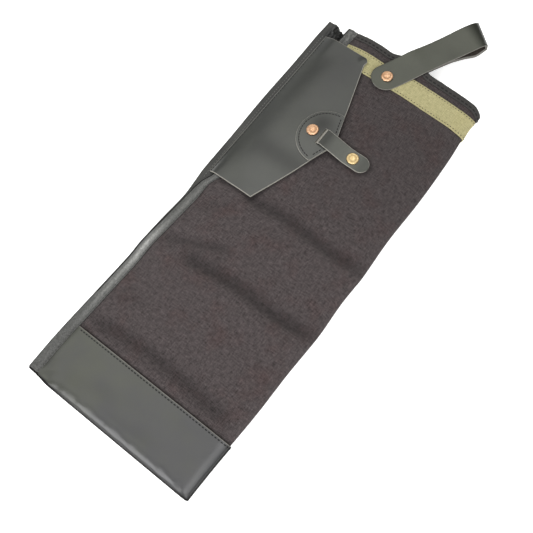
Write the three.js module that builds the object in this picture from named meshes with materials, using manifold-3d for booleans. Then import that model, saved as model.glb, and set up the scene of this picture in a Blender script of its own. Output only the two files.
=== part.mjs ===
// Drumstick bag lying on its back: a flat canvas pouch with a leather bottom, bound edges, a side flap
// that a snap tab holds shut, and a leather carrying loop at the mouth.
// Millimetres. x runs across the bag, y from the leather bottom to the mouth, z up out of the front.
import * as THREE from "three";
import { mergeVertices } from "three/addons/utils/BufferGeometryUtils.js";
import Module from "manifold-3d";

const { clamp, lerp, smoothstep, degToRad } = THREE.MathUtils;
const wasm = await Module();
wasm.setup();

// Sheet thicknesses, and the clearance between pieces that lie on each other
const CANVAS = 1.4;
const BINDING = 1.0;
const BOTTOM_LEATHER = 1.3;
const STRIPE = 1.0;
const FLAP = 1.8;
const PATCH = 1.2;
const TAB = 1.8;
const STRAP = 2.4;
const GAP = 0.25;
const LYING_GAP = 0.35;

// Pouch: ends, seam of the leather bottom, and the rounded fold along the right edge
const BOTTOM_Y = -229;
const SEAM_Y = -172;
const SEAM_OVERLAP = 12;
const MOUTH_Y = 225.4;
const MOUTH_SAG = 2.5;
const CORNER_DROP = 6;
const BACK_RISE = 2.5;
const LEFT_CORNER_RISE = 4.5;
const HALF_WIDTH = 95;
const EDGE_HEIGHT = 12;
const FOLD_HEIGHT = 5.2;
const FOLD_FRONT = 18;
const FOLD_BACK = 6;
const END_FRONT = 13;
const END_BACK = 5;
const END_TURN = 0.88;
const SQUARE_END = [12, 34];
const LEFT_RISE = 50;
const LEFT_POWER = 2.2;

// Outline of the pouch, a row for each station along it: outer edges of the back and front panels on the
// left, outer fold on the right, height of the front's middle, and height of its left edge
const OUTLINE = [
  { y: -229, left: -93.0, front: -92.6, right: 89.5, crown: 13.0, seam: 6.8 },
  { y: -190, left: -93.7, front: -93.2, right: 90.8, crown: 14.5, seam: 6.8 },
  { y: -140, left: -92.2, front: -91.6, right: 91.2, crown: 15.5, seam: 6.8 },
  { y: -95, left: -91.5, front: -90.2, right: 91.6, crown: 16.0, seam: 6.8 },
  { y: -50, left: -90.3, front: -88.2, right: 93.0, crown: 16.0, seam: 6.8 },
  { y: -16, left: -88.7, front: -85.6, right: 91.8, crown: 16.0, seam: 6.8 },
  { y: 3, left: -89.9, front: -82.3, right: 92.2, crown: 16.0, seam: 6.8 },
  { y: 16, left: -90.9, front: -76.5, right: 92.7, crown: 16.0, seam: 6.6 },
  { y: 60, left: -91.8, front: -75.5, right: 91.0, crown: 16.2, seam: 5.6 },
  { y: 110, left: -93.5, front: -74.2, right: 92.0, crown: 16.5, seam: 5.6 },
  { y: 160, left: -93.2, front: -72.8, right: 91.0, crown: 17.0, seam: 6.4 },
  { y: 200, left: -93.7, front: -71.6, right: 89.3, crown: 17.5, seam: 8.4 },
  { y: 227, left: -93.0, front: -71.0, right: 88.8, crown: 17.5, seam: 9.2 },
];

// Creases pressed into the front, a row for each
const CREASES = [
  { fromX: -35, fromY: 15, toX: 89, toY: 20, width: 8, depth: 2.0 },
  { fromX: -75, fromY: -61, toX: -15, toY: -36, width: 7, depth: 1.5 },
  { fromX: -46, fromY: -64, toX: 89, toY: -56, width: 8, depth: 2.2 },
  { fromX: -77, fromY: -158, toX: 77, toY: -155, width: 9, depth: 2.0 },
  { fromX: -76, fromY: -130, toX: -44, toY: -119, width: 7, depth: 0.8 },
];

// Bindings and stripe
const FRONT_BINDING_WIDTH = 10;
const BINDING_FLAT = 7;
const BACK_BINDING_WIDTH = 12;
const MOUTH_BINDING_WIDTH = 6;
const STRIPE_FROM = 186;
const STRIPE_TO = 208.8;
const WRAP = GAP + BINDING;
const EDGE_WRAP = CANVAS / 2 + WRAP;
const TRIM_LIFT = GAP + BINDING;
const BOTTOM_LIFT = GAP + BOTTOM_LEATHER;
const BINDING_ENDS = { bottom: BOTTOM_Y + 3, front: MOUTH_Y - 1.4, backBeyond: 1 };

// Distances over which the lifted back comes down to the floor, from the boot, the stripe and the left edge
const BOTTOM_FADE = [2, 30];
const STRIPE_FADE = [2, 26];
const SIDE_FADE = [1, 26];
const CORNER_FADE = 4;
const HANDLE_CLEAR = [8, 30];

// Flap, its patch and the closure tab
const FLAP_FROM = 14.5;
const FLAP_TO = 202.5;
const FLAP_MIDDLE = 103.5;
const FLAP_LEFT = -83;
const FLAP_BOW = 2;
const FLAP_CORNER_X = -33;
const FLAP_TIP_X = -1.4;
const FLAP_SEAM = 2.5;
const PATCH_CENTRE = { x: -12, y: 104.7 };
const PATCH_RADIUS = 29.2;
const TAB_Y = 102.6;
const TAB_HALF_WIDTH = 8.8;
const TAB_HIDDEN_END = -38;
const TAB_TIP = 37.2;
const SLOT_FROM = -17.2;
const SLOT_TO = -10.2;
const OVER_EDGE = [3, 22];
const OVER_STRIPE = [3, 18];
const POCKET = { fromX: -40, toX: -15, margin: 3, fadeX: 26, fadeY: 30 };
const FLAP_COLUMNS = [0, 0.05, 0.1, 0.16, 0.24, 0.34, 0.45, 0.56, 0.67, 0.78, 0.89, 1];
const FLAP_HALF_ROWS = 7;

// Way of the tab, a row for each point: what it lies on there, and how far it stands off that
const TAB_ROUTE = [
  { x: TAB_HIDDEN_END, on: "burr", stand: 0 },
  { x: -31, on: "burr", stand: 0 },
  { x: -21, on: "burr", stand: 0 },
  { x: -16, on: "burr", stand: 0.1 },
  { x: -13.3, on: "slot", stand: 0 },
  { x: -10.6, on: "flap", stand: 0 },
  { x: -5, on: "flap", stand: 0 },
  { x: FLAP_TIP_X, on: "flap", stand: 0 },
  { x: 6, on: "canvas", stand: 2.2 },
  { x: 13, on: "canvas", stand: 0 },
  { x: 25, on: "canvas", stand: 0 },
  { x: TAB_TIP, on: "canvas", stand: 0 },
];
const TAB_TIP_STEPS = [0.925, 0.955, 0.975, 0.99, 1];

// Handle: rivet places, the loop's far fold, and the strap's lie at its two ends
const STRAP_HALF_WIDTH = 14.25;
const HANDLE_FRONT = { x: -4.8, y: 195 };
const HANDLE_END = 16;
const HANDLE_BACK = { x: -19, y: 197 };
const HANDLE_FOLD = { x: 42, y: 293.5 };
const LOOP_TOP = 19;
const LOOP_REACH = 11;
const HANDLE_SAG = 6;
const HANDLE_TILT = 0.08;
const HANDLE_SAG_SPAN = [28, 96];
const HANDLE_SAG_STEPS = [48, 62, 76];
const HANDLE_LIES_TO = 34;
const STRAP_FLOOR = 0.15;
const STRAP_SETTLES = [10, 30];
const LIFT_SPAN = [28, 50];
const SHOULDER = { reach: 0.6, drop: 1.8 };
const LOOP_ENTRY = 1.6;
const STRAP_END_STEPS = [0, 0.002, 0.007, 0.016, 0.03];

// Rivets and snap
const CAP_RADIUS = 6;
const CAP_HEIGHT = 1.5;
const POST_RADIUS = 2;
const BURR_RADIUS = 4.5;
const BURR_HEIGHT = 0.8;
const CAP_RIM = 0.4;
const CAP_SHOULDER = { r: 0.75, z: 0.85 };
const RIVET_SIDES = 14;
const HOLE_SIDES = 12;
const HOLE_SPARE = 1.5;
const FLAP_RIVET = { x: -27.2, y: 103.2 };
const TAB_SNAP = { x: 19.8, y: 102.8 };

const LEATHER = { color: 0x363833, roughness: 0.5, metalness: 0 };
const BOUND_LEATHER = { color: 0x30322e, roughness: 0.55, metalness: 0 };
const DARK_CANVAS = { color: 0x2a2424, roughness: 0.95, metalness: 0 };
const KHAKI_COTTON = { color: 0x9a9262, roughness: 0.95, metalness: 0 };
const COPPER = { color: 0xd9905f, roughness: 0.3, metalness: 1 };
const BRASS = { color: 0xd8b061, roughness: 0.3, metalness: 1 };

// Value of one outline column at y: a cubic through the rows
function outline(column, y) {
  const last = OUTLINE.length - 1;
  const at = clamp(y, OUTLINE[0].y, OUTLINE[last].y);
  let i = 0;
  while (i < last - 1 && at > OUTLINE[i + 1].y) i += 1;
  const slope = (k) => {
    const a = OUTLINE[Math.max(k - 1, 0)];
    const b = OUTLINE[Math.min(k + 1, last)];
    return (b[column] - a[column]) / (b.y - a.y);
  };
  const span = OUTLINE[i + 1].y - OUTLINE[i].y;
  const t = (at - OUTLINE[i].y) / span;
  const rise = t * t * (3 - 2 * t);
  const start = slope(i) * span * t * (1 - t) ** 2;
  const end = slope(i + 1) * span * t * t * (t - 1);
  return lerp(OUTLINE[i][column], OUTLINE[i + 1][column], rise) + start + end;
}

function creaseDepth(x, y) {
  let depth = 0;
  for (const c of CREASES) {
    const runX = c.toX - c.fromX;
    const runY = c.toY - c.fromY;
    const t = clamp(((x - c.fromX) * runX + (y - c.fromY) * runY) / (runX ** 2 + runY ** 2), 0, 1);
    const away = Math.hypot(x - c.fromX - t * runX, y - c.fromY - t * runY);
    depth += c.depth * Math.exp(-((away / c.width) ** 2));
  }
  return depth;
}

// Height of the canvas front's outer face, rising from the bound left edge to the crowned middle
function frontHeight(x, y, crease = creaseDepth(x, y)) {
  const crown = outline("crown", y) - EDGE_HEIGHT;
  const middle = EDGE_HEIGHT + crown * (1 - (x / HALF_WIDTH) ** 2) - crease;
  const seam = outline("seam", y);
  const t = clamp((x - outline("front", y) - EDGE_WRAP - BINDING_FLAT) / LEFT_RISE, 0, 1);
  return seam + (middle - seam) * (1 - (1 - t) ** LEFT_POWER);
}

// The handle's back run lies under the back panel and lifts it
const HANDLE_RUN = Math.hypot(HANDLE_FOLD.x - HANDLE_BACK.x, HANDLE_FOLD.y - HANDLE_BACK.y);
const HANDLE_RUN_X = (HANDLE_FOLD.x - HANDLE_BACK.x) / HANDLE_RUN;
const HANDLE_RUN_Y = (HANDLE_FOLD.y - HANDLE_BACK.y) / HANDLE_RUN;
const RIVET_ROOM = CAP_HEIGHT + GAP;

// Height of the strap's underside at a distance along its back run from the back rivet
function strapUnder(along) {
  return STRAP_FLOOR + (RIVET_ROOM - STRAP_FLOOR) * (1 - smoothstep(along, ...STRAP_SETTLES));
}

function handleLift(x, y) {
  const along = (x - HANDLE_BACK.x) * HANDLE_RUN_X + (y - HANDLE_BACK.y) * HANDLE_RUN_Y;
  const across = (x - HANDLE_BACK.x) * HANDLE_RUN_Y - (y - HANDLE_BACK.y) * HANDLE_RUN_X;
  const side = 1 - smoothstep(Math.abs(across), ...LIFT_SPAN);
  const end = 1 - smoothstep(-along, ...LIFT_SPAN);
  return (strapUnder(along) + STRAP + GAP) * side * end;
}

// Height of the canvas back's outer face: on the floor in the middle, lifted by what wraps under it
function backHeight(x, y) {
  const left = outline("left", y) + EDGE_WRAP + BACK_BINDING_WIDTH;
  const clear = lerp(TRIM_LIFT, BOTTOM_LIFT, smoothstep(x - left, 0, CORNER_FADE));
  const bottom = clear * (1 - smoothstep(y - SEAM_Y, ...BOTTOM_FADE));
  const top = TRIM_LIFT * (1 - smoothstep(STRIPE_FROM - y, ...STRIPE_FADE));
  const side = TRIM_LIFT * (1 - smoothstep(x - left, ...SIDE_FADE));
  return Math.max(bottom, top, side) + handleLift(x, y) * smoothstep(x - left, ...HANDLE_CLEAR);
}

const shares = (count) => Array.from({ length: count + 1 }, (_, i) => i / count);
const spread = (from, to, count) => shares(count).map((t) => lerp(from, to, t));

// A point of the pouch's outer face. u is 0 to 1 across the front, 1 to 3 round the fold and 3 to 4 across
// the back, and turn (0 to 1) rolls the bottom end under.
function shellPoint(u, y, turn = 0) {
  const onFront = u <= 2;
  const depth = onFront ? FOLD_FRONT : FOLD_BACK;
  const start = outline("right", y) - depth;
  const angle = (clamp(u - 1, 0, 2) * Math.PI) / 2;
  const edge = outline(onFront ? "front" : "left", y) + EDGE_WRAP;
  let x = start + depth * Math.sin(angle);
  if (u < 1) x = lerp(edge, start, u);
  if (u > 3) x = lerp(start, edge, u - 3);
  const panel = onFront ? frontHeight(x, y) : backHeight(x, y);
  const roll = (turn * Math.PI) / 2;
  const square = 1 - smoothstep(x - edge, ...SQUARE_END);
  const flat = Math.abs(Math.cos(angle)) * lerp(Math.cos(roll), 1, square);
  const end = lerp(END_FRONT, END_BACK, clamp(u - 1, 0, 2) / 2);
  return new THREE.Vector3(x, y - end * Math.sin(roll), lerp(FOLD_HEIGHT, panel, flat));
}

// The same point with the outward normal and the direction towards the mouth
function shellFrame(u, y, turn = 0) {
  const du = 0.01;
  const dy = 0.2;
  const dturn = 0.02;
  const point = shellPoint(u, y, turn);
  const across = shellPoint(Math.min(u + du, 4), y, turn).sub(shellPoint(Math.max(u - du, 0), y, turn));
  const mouth = turn > 0
    ? shellPoint(u, y, turn - dturn).sub(shellPoint(u, y, turn + dturn))
    : shellPoint(u, y + dy).sub(shellPoint(u, y - dy));
  const normal = across.clone().cross(mouth).normalize();
  return { point, normal, across: across.normalize(), mouth: mouth.normalize() };
}

const offset = (frame, distance) => frame.point.clone().addScaledVector(frame.normal, distance);

// Share of u that a distance in from the left edge takes on the front (edge at u 0) or the back (at u 4)
const frontShare = (d, y) =>
  d / (outline("right", y) - FOLD_FRONT - outline("front", y) - EDGE_WRAP);
const backShare = (d, y) => d / (outline("right", y) - FOLD_BACK - outline("left", y) - EDGE_WRAP);

// Height of the mouth's canvas edge round the pouch
function mouthEdge(u) {
  const front = MOUTH_SAG * smoothstep(u, 0.2, 0.8);
  const fold = CORNER_DROP * smoothstep(u, 1.2, 2);
  const back = BACK_RISE * smoothstep(u, 2, 3) + LEFT_CORNER_RISE * smoothstep(u, 4 - TUCK_COLUMN, 4);
  return MOUTH_Y - EDGE_WRAP - front - fold + back;
}

// How far the stripe drops round the pouch to stay below the mouth's binding
const stripeDrop = (u) => Math.max(0, STRIPE_TO + MOUTH_BINDING_WIDTH + 1 - mouthEdge(u));

// Closed solid between an outer and an inner skin. place(column, row) gives a point of each, bridges joins
// more quads of grid corners to the sheet, and keep(column, row) says which cells of the grid it has.
function thickSheet(columns, rows, place, { bridges = [], keep = () => true } = {}) {
  const wide = columns.length;
  const points = rows.flatMap((row) => columns.map((column) => place(column, row)));
  const quads = [...bridges];
  for (let j = 0; j + 1 < rows.length; j += 1) {
    for (let i = 0; i + 1 < wide; i += 1) {
      const a = j * wide + i;
      const middle = (columns[i] + columns[i + 1]) / 2;
      if (keep(middle, rows[j])) quads.push([a, a + 1, a + 1 + wide, a + wide]);
    }
  }
  const count = points.length;
  const faces = quads.flatMap(([a, b, c, d]) => [
    [a, b, c, d],
    [a + count, d + count, c + count, b + count],
  ]);
  const edges = new Set(quads.flatMap((q) => q.map((a, k) => `${a} ${q[(k + 1) % 4]}`)));
  for (const edge of edges) {
    const [a, b] = edge.split(" ").map(Number);
    if (!edges.has(`${b} ${a}`)) faces.push([b, a, a + count, b + count]);
  }
  const index = faces.flatMap(([a, b, c, d]) => [a, b, c, a, c, d]);
  const skins = [...points.map((p) => p[0]), ...points.map((p) => p[1])];
  const geometry = new THREE.BufferGeometry().setFromPoints(skins);
  return geometry.setIndex(facingOut(skins, index));
}

// The triangles, turned round if they enclose a negative volume
function facingOut(points, index) {
  let volume = 0;
  for (let k = 0; k < index.length; k += 3) {
    const [a, b, c] = [points[index[k]], points[index[k + 1]], points[index[k + 2]]];
    volume += a.dot(b.clone().cross(c));
  }
  if (volume > 0) return index;
  return index.map((_, k) => index[k - (k % 3) + 2 - (k % 3)]);
}

function toManifold(geometry) {
  const bare = geometry.clone();
  bare.deleteAttribute("normal");
  bare.deleteAttribute("uv");
  const merged = mergeVertices(bare, 1e-3);
  return new wasm.Manifold(new wasm.Mesh({
    numProp: 3,
    vertProperties: new Float32Array(merged.attributes.position.array),
    triVerts: new Uint32Array(merged.index.array),
  }));
}

function fromManifold(solid) {
  const mesh = solid.getMesh();
  const position = new THREE.BufferAttribute(new Float32Array(mesh.vertProperties), 3);
  return new THREE.BufferGeometry()
    .setAttribute("position", position)
    .setIndex(new THREE.BufferAttribute(new Uint32Array(mesh.triVerts), 1));
}

const cutBy = (geometry, cutters) =>
  fromManifold(cutters.reduce((solid, c) => solid.subtract(toManifold(c)), toManifold(geometry)));

// A rivet or snap: its place, the height of its cap's seat, the depth of the stack that it holds, and the
// turn that stands it on the front's slope or under the back
function fastener(place, seat, stack, underBack = false) {
  const step = 1;
  const slopeX = frontHeight(place.x + step, place.y) - frontHeight(place.x - step, place.y);
  const axis = underBack
    ? new THREE.Vector3(0, 0, -1)
    : new THREE.Vector3(-slopeX / (2 * step), 0, 1).normalize();
  const turn = new THREE.Quaternion().setFromUnitVectors(new THREE.Vector3(0, 0, 1), axis);
  return { ...place, seat, stack, turn };
}

// Cutter for the post of a fastener through its stack
function postHole({ x, y, seat, stack, turn }) {
  const radius = POST_RADIUS + GAP;
  return new THREE.CylinderGeometry(radius, radius, stack + 2 * HOLE_SPARE, HOLE_SIDES)
    .rotateX(Math.PI / 2)
    .translate(0, 0, -stack / 2)
    .applyQuaternion(turn)
    .translate(x, y, seat);
}

// Grid of the pouch: columns round it, rows along its panels and rows along the stripe
const BOUND_COLUMNS = [0, 0.045, 0.075];
const TUCK_COLUMN = 0.11;
const FRONT_COLUMNS = [...BOUND_COLUMNS, TUCK_COLUMN, 0.17, 0.25, ...spread(0.35, 1, 6)];
const FOLD_COLUMNS = spread(1, 3, 8).slice(1);
const BACK_COLUMNS = [3.15, 3.3, 3.45, 3.6, 3.75, 4 - TUCK_COLUMN, 4];
const SHELL_COLUMNS = [...FRONT_COLUMNS, ...FOLD_COLUMNS, ...BACK_COLUMNS];
const SLIT_FOOT = [-20, 28];
const PANEL_ROWS = [
  ...spread(SEAM_Y + GAP, SLIT_FOOT[0], 12),
  ...spread(SLIT_FOOT[0], SLIT_FOOT[1], 6).slice(1),
  ...spread(SLIT_FOOT[1], STRIPE_FROM, 8).slice(1),
];
const STRIPE_ROWS = spread(STRIPE_FROM, STRIPE_TO, 3);

// Canvas pouch. Its lower end is tucked into the leather bottom, short of the bound edges.
function canvasBody() {
  const panel = [SEAM_Y - SEAM_OVERLAP, ...PANEL_ROWS].map((y) => ({ y }));
  const band = STRIPE_ROWS.slice(1).map((y) => ({ y, drop: 1 }));
  const mouth = [0.5, 1].map((rise) => ({ y: STRIPE_TO, drop: 1, rise }));
  const place = (u, { y, drop = 0, rise = 0 }) => {
    const level = y - drop * stripeDrop(u);
    const frame = shellFrame(u, lerp(level, mouthEdge(u), rise));
    return [frame.point, offset(frame, -CANVAS)];
  };
  const keep = (u, { y }) => y > SEAM_Y || (u > TUCK_COLUMN && u < 4 - TUCK_COLUMN);
  const sheet = thickSheet(SHELL_COLUMNS, [...panel, ...band, ...mouth], place, { keep });
  return cutBy(sheet, [handleFront, handleBack, tabSnap].map(postHole));
}

// Leather pocket over the bottom end: it stands off the canvas, and its left edges lie in the bindings
function leatherBottom() {
  const standOff = [0.078, 0.105];
  const front = [0, BOUND_COLUMNS[1], ...standOff, 0.13, 0.2, 0.3, 0.42, 0.56, 0.7, 0.85, 1];
  const half = [...front, ...spread(1, 2, 4).slice(1)];
  const columns = [...half, ...half.slice(0, -1).reverse().map((u) => 4 - u)];
  const flatRows = spread(0, 1, 5).map((t) => ({ t, turn: 0 }));
  const endRows = spread(0, END_TURN, 5).slice(1).map((turn) => ({ t: 1, turn }));
  const rows = [...flatRows, ...endRows];
  const end = BOTTOM_Y + BOTTOM_LIFT;
  const wide = columns.length;
  const last = (rows.length - 1) * wide;
  const bridges = half.slice(0, -2)
    .map((_, i) => [last + i, last + i + 1, last + wide - 2 - i, last + wide - 1 - i]);
  const place = (u, { t, turn }) => {
    const roll = lerp(END_FRONT, END_BACK, clamp(u - 1, 0, 2) / 2);
    const frame = shellFrame(u, lerp(SEAM_Y, end + roll, t), turn);
    const stand = BOTTOM_LIFT * smoothstep(Math.min(u, 4 - u), ...standOff);
    return [offset(frame, stand), offset(frame, stand - BOTTOM_LEATHER)];
  };
  return thickSheet(columns, rows, place, { bridges });
}

// Strip folded over a canvas edge. edgeFrame(station, d) gives the canvas face at a distance d in from the
// edge, and out is the direction in which that frame leaves the edge.
function foldedStrip(stations, width, edgeFrame, out) {
  const stops = [width, Math.min(BINDING_FLAT, 0.6 * width), 0];
  const over = stops.map((d) => ({ d, angle: 0 }));
  const round = spread(0, Math.PI, 4).slice(1, -1).map((angle) => ({ d: 0, angle }));
  const under = stops.toReversed().map((d) => ({ d, angle: Math.PI }));
  return thickSheet([...over, ...round, ...under], stations, ({ d, angle }, station) => {
    const frame = edgeFrame(station, d);
    const middle = offset(frame, -CANVAS / 2);
    const way = frame.normal.clone().multiplyScalar(Math.cos(angle));
    way.addScaledVector(out(frame), Math.sin(angle));
    const at = (distance) => middle.clone().addScaledVector(way, distance);
    return [at(EDGE_WRAP), at(CANVAS / 2 + GAP)];
  });
}

function frontBinding() {
  const low = spread(BINDING_ENDS.bottom, SEAM_Y, 4).slice(0, -1);
  const rows = [...low, ...PANEL_ROWS, STRIPE_TO, BINDING_ENDS.front];
  const frame = (y, d) => shellFrame(frontShare(d, y), y);
  return foldedStrip(rows, FRONT_BINDING_WIDTH, frame, (f) => f.across.clone().negate());
}

function backBinding() {
  const rows = spread(BINDING_ENDS.bottom, mouthEdge(4) + BINDING_ENDS.backBeyond, 20);
  const frame = (y, d) => shellFrame(4 - backShare(d, y), y);
  return foldedStrip(rows, BACK_BINDING_WIDTH, frame, (f) => f.across);
}

// Columns round the pouch between the two left bindings
function bandColumns(y) {
  const from = frontShare(FRONT_BINDING_WIDTH + 2 * GAP, y);
  const to = 4 - backShare(BACK_BINDING_WIDTH + 2 * GAP, y);
  const apart = 0.02;
  return [from, ...SHELL_COLUMNS.filter((u) => u > from + apart && u < to - apart), to];
}

function mouthBinding() {
  const frame = (u, d) => shellFrame(u, mouthEdge(u) - d);
  return foldedStrip(bandColumns(MOUTH_Y), MOUTH_BINDING_WIDTH, frame, (f) => f.mouth);
}

function stripe() {
  const band = thickSheet(bandColumns(STRIPE_FROM), STRIPE_ROWS, (u, y) => {
    const frame = shellFrame(u, y - stripeDrop(u));
    return [offset(frame, GAP + STRIPE), offset(frame, GAP)];
  });
  return cutBy(band, [handleFront, handleBack].map(postHole));
}

// Flap edges: the sewn one bows out a little, and the free one comes to a blunt point
const flapLeft = (y) =>
  FLAP_LEFT - FLAP_BOW * (1 - ((2 * y - FLAP_FROM - FLAP_TO) / (FLAP_TO - FLAP_FROM)) ** 2);
function flapRight(y) {
  const reach = y < FLAP_MIDDLE ? FLAP_MIDDLE - FLAP_FROM : FLAP_TO - FLAP_MIDDLE;
  return lerp(FLAP_TIP_X, FLAP_CORNER_X, Math.abs(y - FLAP_MIDDLE) / reach);
}

// Room under the flap for the tab's riveted end
const TAB_POCKET = TAB + BURR_HEIGHT + GAP + LYING_GAP;
function tabPocket(x, y) {
  const alongX = Math.max(POCKET.fromX - x, x - POCKET.toX, 0);
  const alongY = Math.max(Math.abs(y - TAB_Y) - TAB_HALF_WIDTH - POCKET.margin, 0);
  const share = (1 - smoothstep(alongX, 0, POCKET.fadeX)) * (1 - smoothstep(alongY, 0, POCKET.fadeY));
  return TAB_POCKET * share;
}

// Height of the flap's underside: sewn down on the back binding, then over the front panel
const SEWN_LEVEL = TRIM_LIFT + CANVAS + GAP + BINDING + GAP;
function flapUnder(x, y) {
  const edge = outline("front", y);
  const overEdge = 1 - smoothstep(x - edge - FRONT_BINDING_WIDTH, ...OVER_EDGE);
  const overStripe = 1 - smoothstep(STRIPE_FROM - y, ...OVER_STRIPE);
  const lying = frontHeight(x, y, 0) + LYING_GAP + WRAP * Math.max(overEdge, overStripe);
  const climb = smoothstep(x, flapLeft(y) + FLAP_SEAM, edge - 1);
  return lerp(SEWN_LEVEL, lying + tabPocket(x, y), climb);
}

// A leather sheet with the flap's outline, between two heights above the flap's underside
function flapSheet(from, to) {
  const low = spread(FLAP_FROM, FLAP_MIDDLE, FLAP_HALF_ROWS);
  const rows = [...low, ...spread(FLAP_MIDDLE, FLAP_TO, FLAP_HALF_ROWS).slice(1)];
  return thickSheet(FLAP_COLUMNS, rows, (share, y) => {
    const x = lerp(flapLeft(y), flapRight(y), share);
    const under = flapUnder(x, y);
    return [new THREE.Vector3(x, y, under + to), new THREE.Vector3(x, y, under + from)];
  });
}

function tabSlot() {
  const width = SLOT_TO - SLOT_FROM;
  return new THREE.BoxGeometry(width, 2 * TAB_HALF_WIDTH + 1, 60)
    .translate((SLOT_FROM + SLOT_TO) / 2, TAB_Y, 20);
}

const flap = () => cutBy(flapSheet(0, FLAP), [tabSlot(), postHole(flapRivet)]);

function flapPatch() {
  const sheet = toManifold(flapSheet(FLAP + GAP, FLAP + GAP + PATCH));
  const disc = new THREE.CylinderGeometry(PATCH_RADIUS, PATCH_RADIUS, 100, 40)
    .rotateX(Math.PI / 2)
    .translate(PATCH_CENTRE.x, PATCH_CENTRE.y, 0);
  const round = fromManifold(sheet.intersect(toManifold(disc)));
  return cutBy(round, [tabSlot(), postHole(flapRivet)]);
}

// Flat strip of leather along a curve. frameAt(t) gives its middle, its sideways direction and its normal,
// and widthAt(t) its half width.
function ribbon(steps, thickness, frameAt, widthAt) {
  return thickSheet([-1, 0, 1], steps, (side, t) => {
    const { point, sideways, normal } = frameAt(t);
    const middle = point.clone().addScaledVector(sideways, side * widthAt(t));
    const at = (d) => middle.clone().addScaledVector(normal, d);
    return [at(thickness / 2), at(-thickness / 2)];
  });
}

// Half width at a distance from a round end of radius r
const roundEnd = (r, fromEnd) => {
  const inside = clamp(1 - fromEnd / r, 0, 0.99);
  return r * Math.sqrt(1 - inside ** 2);
};

// Tab: riveted under the flap, up through the slot, over the flap's point and down to the front
function closureTab() {
  const lie = {
    canvas: (x) => frontHeight(x, TAB_Y) + LYING_GAP + TAB / 2,
    burr: (x) => lie.canvas(x) + BURR_HEIGHT + GAP,
    flap: (x) => flapUnder(x, TAB_Y) + FLAP + GAP + PATCH + LYING_GAP + TAB / 2,
    slot: (x) => (lie.burr(x) + lie.flap(x)) / 2,
  };
  const route = TAB_ROUTE.map(({ x, on, stand }) => new THREE.Vector3(x, TAB_Y, lie[on](x) + stand));
  const curve = new THREE.CatmullRomCurve3(route, false, "centripetal");
  const length = curve.getLength();
  const sideways = new THREE.Vector3(0, 1, 0);
  const frameAt = (t) => {
    const normal = curve.getTangentAt(t).cross(sideways);
    return { point: curve.getPointAt(t), sideways, normal };
  };
  const widthAt = (t) => roundEnd(TAB_HALF_WIDTH, (1 - t) * length);
  const steps = [...spread(0, 0.89, 26), ...TAB_TIP_STEPS];
  const tab = ribbon(steps, TAB, frameAt, widthAt);
  return cutBy(tab, [flapRivet, tabSnap].map(postHole));
}

// Handle: from its front rivet out over the mouth, round the fold and back under the pouch
function handleStrap() {
  const frontRun = new THREE.Vector2(HANDLE_FOLD.x - HANDLE_FRONT.x, HANDLE_FOLD.y - HANDLE_FRONT.y);
  const frontLength = frontRun.length();
  frontRun.normalize();
  const lying = (x, y) => frontHeight(x, y) + WRAP + LYING_GAP + STRAP / 2;
  const front = (along, height) => {
    const x = HANDLE_FRONT.x + frontRun.x * along;
    const y = HANDLE_FRONT.y + frontRun.y * along;
    return new THREE.Vector3(x, y, height ?? lying(x, y));
  };
  const back = (along) => new THREE.Vector3(
    HANDLE_BACK.x + HANDLE_RUN_X * along,
    HANDLE_BACK.y + HANDLE_RUN_Y * along,
    strapUnder(along) + STRAP / 2,
  );
  const sag = (along) => {
    const [from, to] = HANDLE_SAG_SPAN;
    return Math.sin(Math.PI * clamp((along - from) / (to - from), 0, 1)) ** 2;
  };
  const middle = (LOOP_TOP + STRAP / 2) / 2;
  const route = [
    ...spread(-HANDLE_END, HANDLE_LIES_TO, 5).map((along) => front(along)),
    ...HANDLE_SAG_STEPS.map((along) => front(along, LOOP_TOP - HANDLE_SAG * sag(along))),
    front(frontLength - LOOP_ENTRY * LOOP_REACH, LOOP_TOP),
    front(frontLength - SHOULDER.reach * LOOP_REACH, LOOP_TOP - SHOULDER.drop),
    front(frontLength, middle),
    back(HANDLE_RUN - SHOULDER.reach * LOOP_REACH).setZ(STRAP_FLOOR + STRAP / 2 + SHOULDER.drop),
    ...spread(HANDLE_RUN - LOOP_ENTRY * LOOP_REACH, -HANDLE_END, 9).map(back),
  ];
  const curve = new THREE.CatmullRomCurve3(route, false, "centripetal");
  const length = curve.getLength();
  const turnFront = Math.atan2(frontRun.x, frontRun.y);
  const turnBack = Math.atan2(HANDLE_RUN_X, HANDLE_RUN_Y);
  const frameAt = (t) => {
    const turn = lerp(turnFront, turnBack, smoothstep(t, 0.3, 0.7));
    const tilt = HANDLE_TILT * sag(t * length - HANDLE_END);
    const sideways = new THREE.Vector3(Math.cos(turn), -Math.sin(turn), tilt).normalize();
    const normal = sideways.clone().cross(curve.getTangentAt(t)).normalize();
    return { point: curve.getPointAt(t), sideways, normal };
  };
  const widthAt = (t) => roundEnd(STRAP_HALF_WIDTH, Math.min(t, 1 - t) * length);
  const farEnd = STRAP_END_STEPS.map((t) => 1 - t).reverse();
  const steps = [...STRAP_END_STEPS, ...spread(0.05, 0.95, 34), ...farEnd];
  return cutBy(ribbon(steps, STRAP, frameAt, widthAt), [handleFront, handleBack].map(postHole));
}

// Rivet with a domed cap above the stack and a burr below it, made about its own axis
function rivet(stack) {
  const foot = -stack - 2 * GAP;
  const profile = [
    [0, foot - BURR_HEIGHT],
    [BURR_RADIUS, foot - BURR_HEIGHT],
    [BURR_RADIUS, foot],
    [POST_RADIUS, foot],
    [POST_RADIUS, 0],
    [CAP_RADIUS, 0],
    [CAP_RADIUS, CAP_RIM * CAP_HEIGHT],
    [CAP_SHOULDER.r * CAP_RADIUS, CAP_SHOULDER.z * CAP_HEIGHT],
    [0, CAP_HEIGHT],
  ].map(([r, z]) => new THREE.Vector2(r, z));
  return new THREE.LatheGeometry(profile, RIVET_SIDES).rotateX(Math.PI / 2);
}

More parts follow.
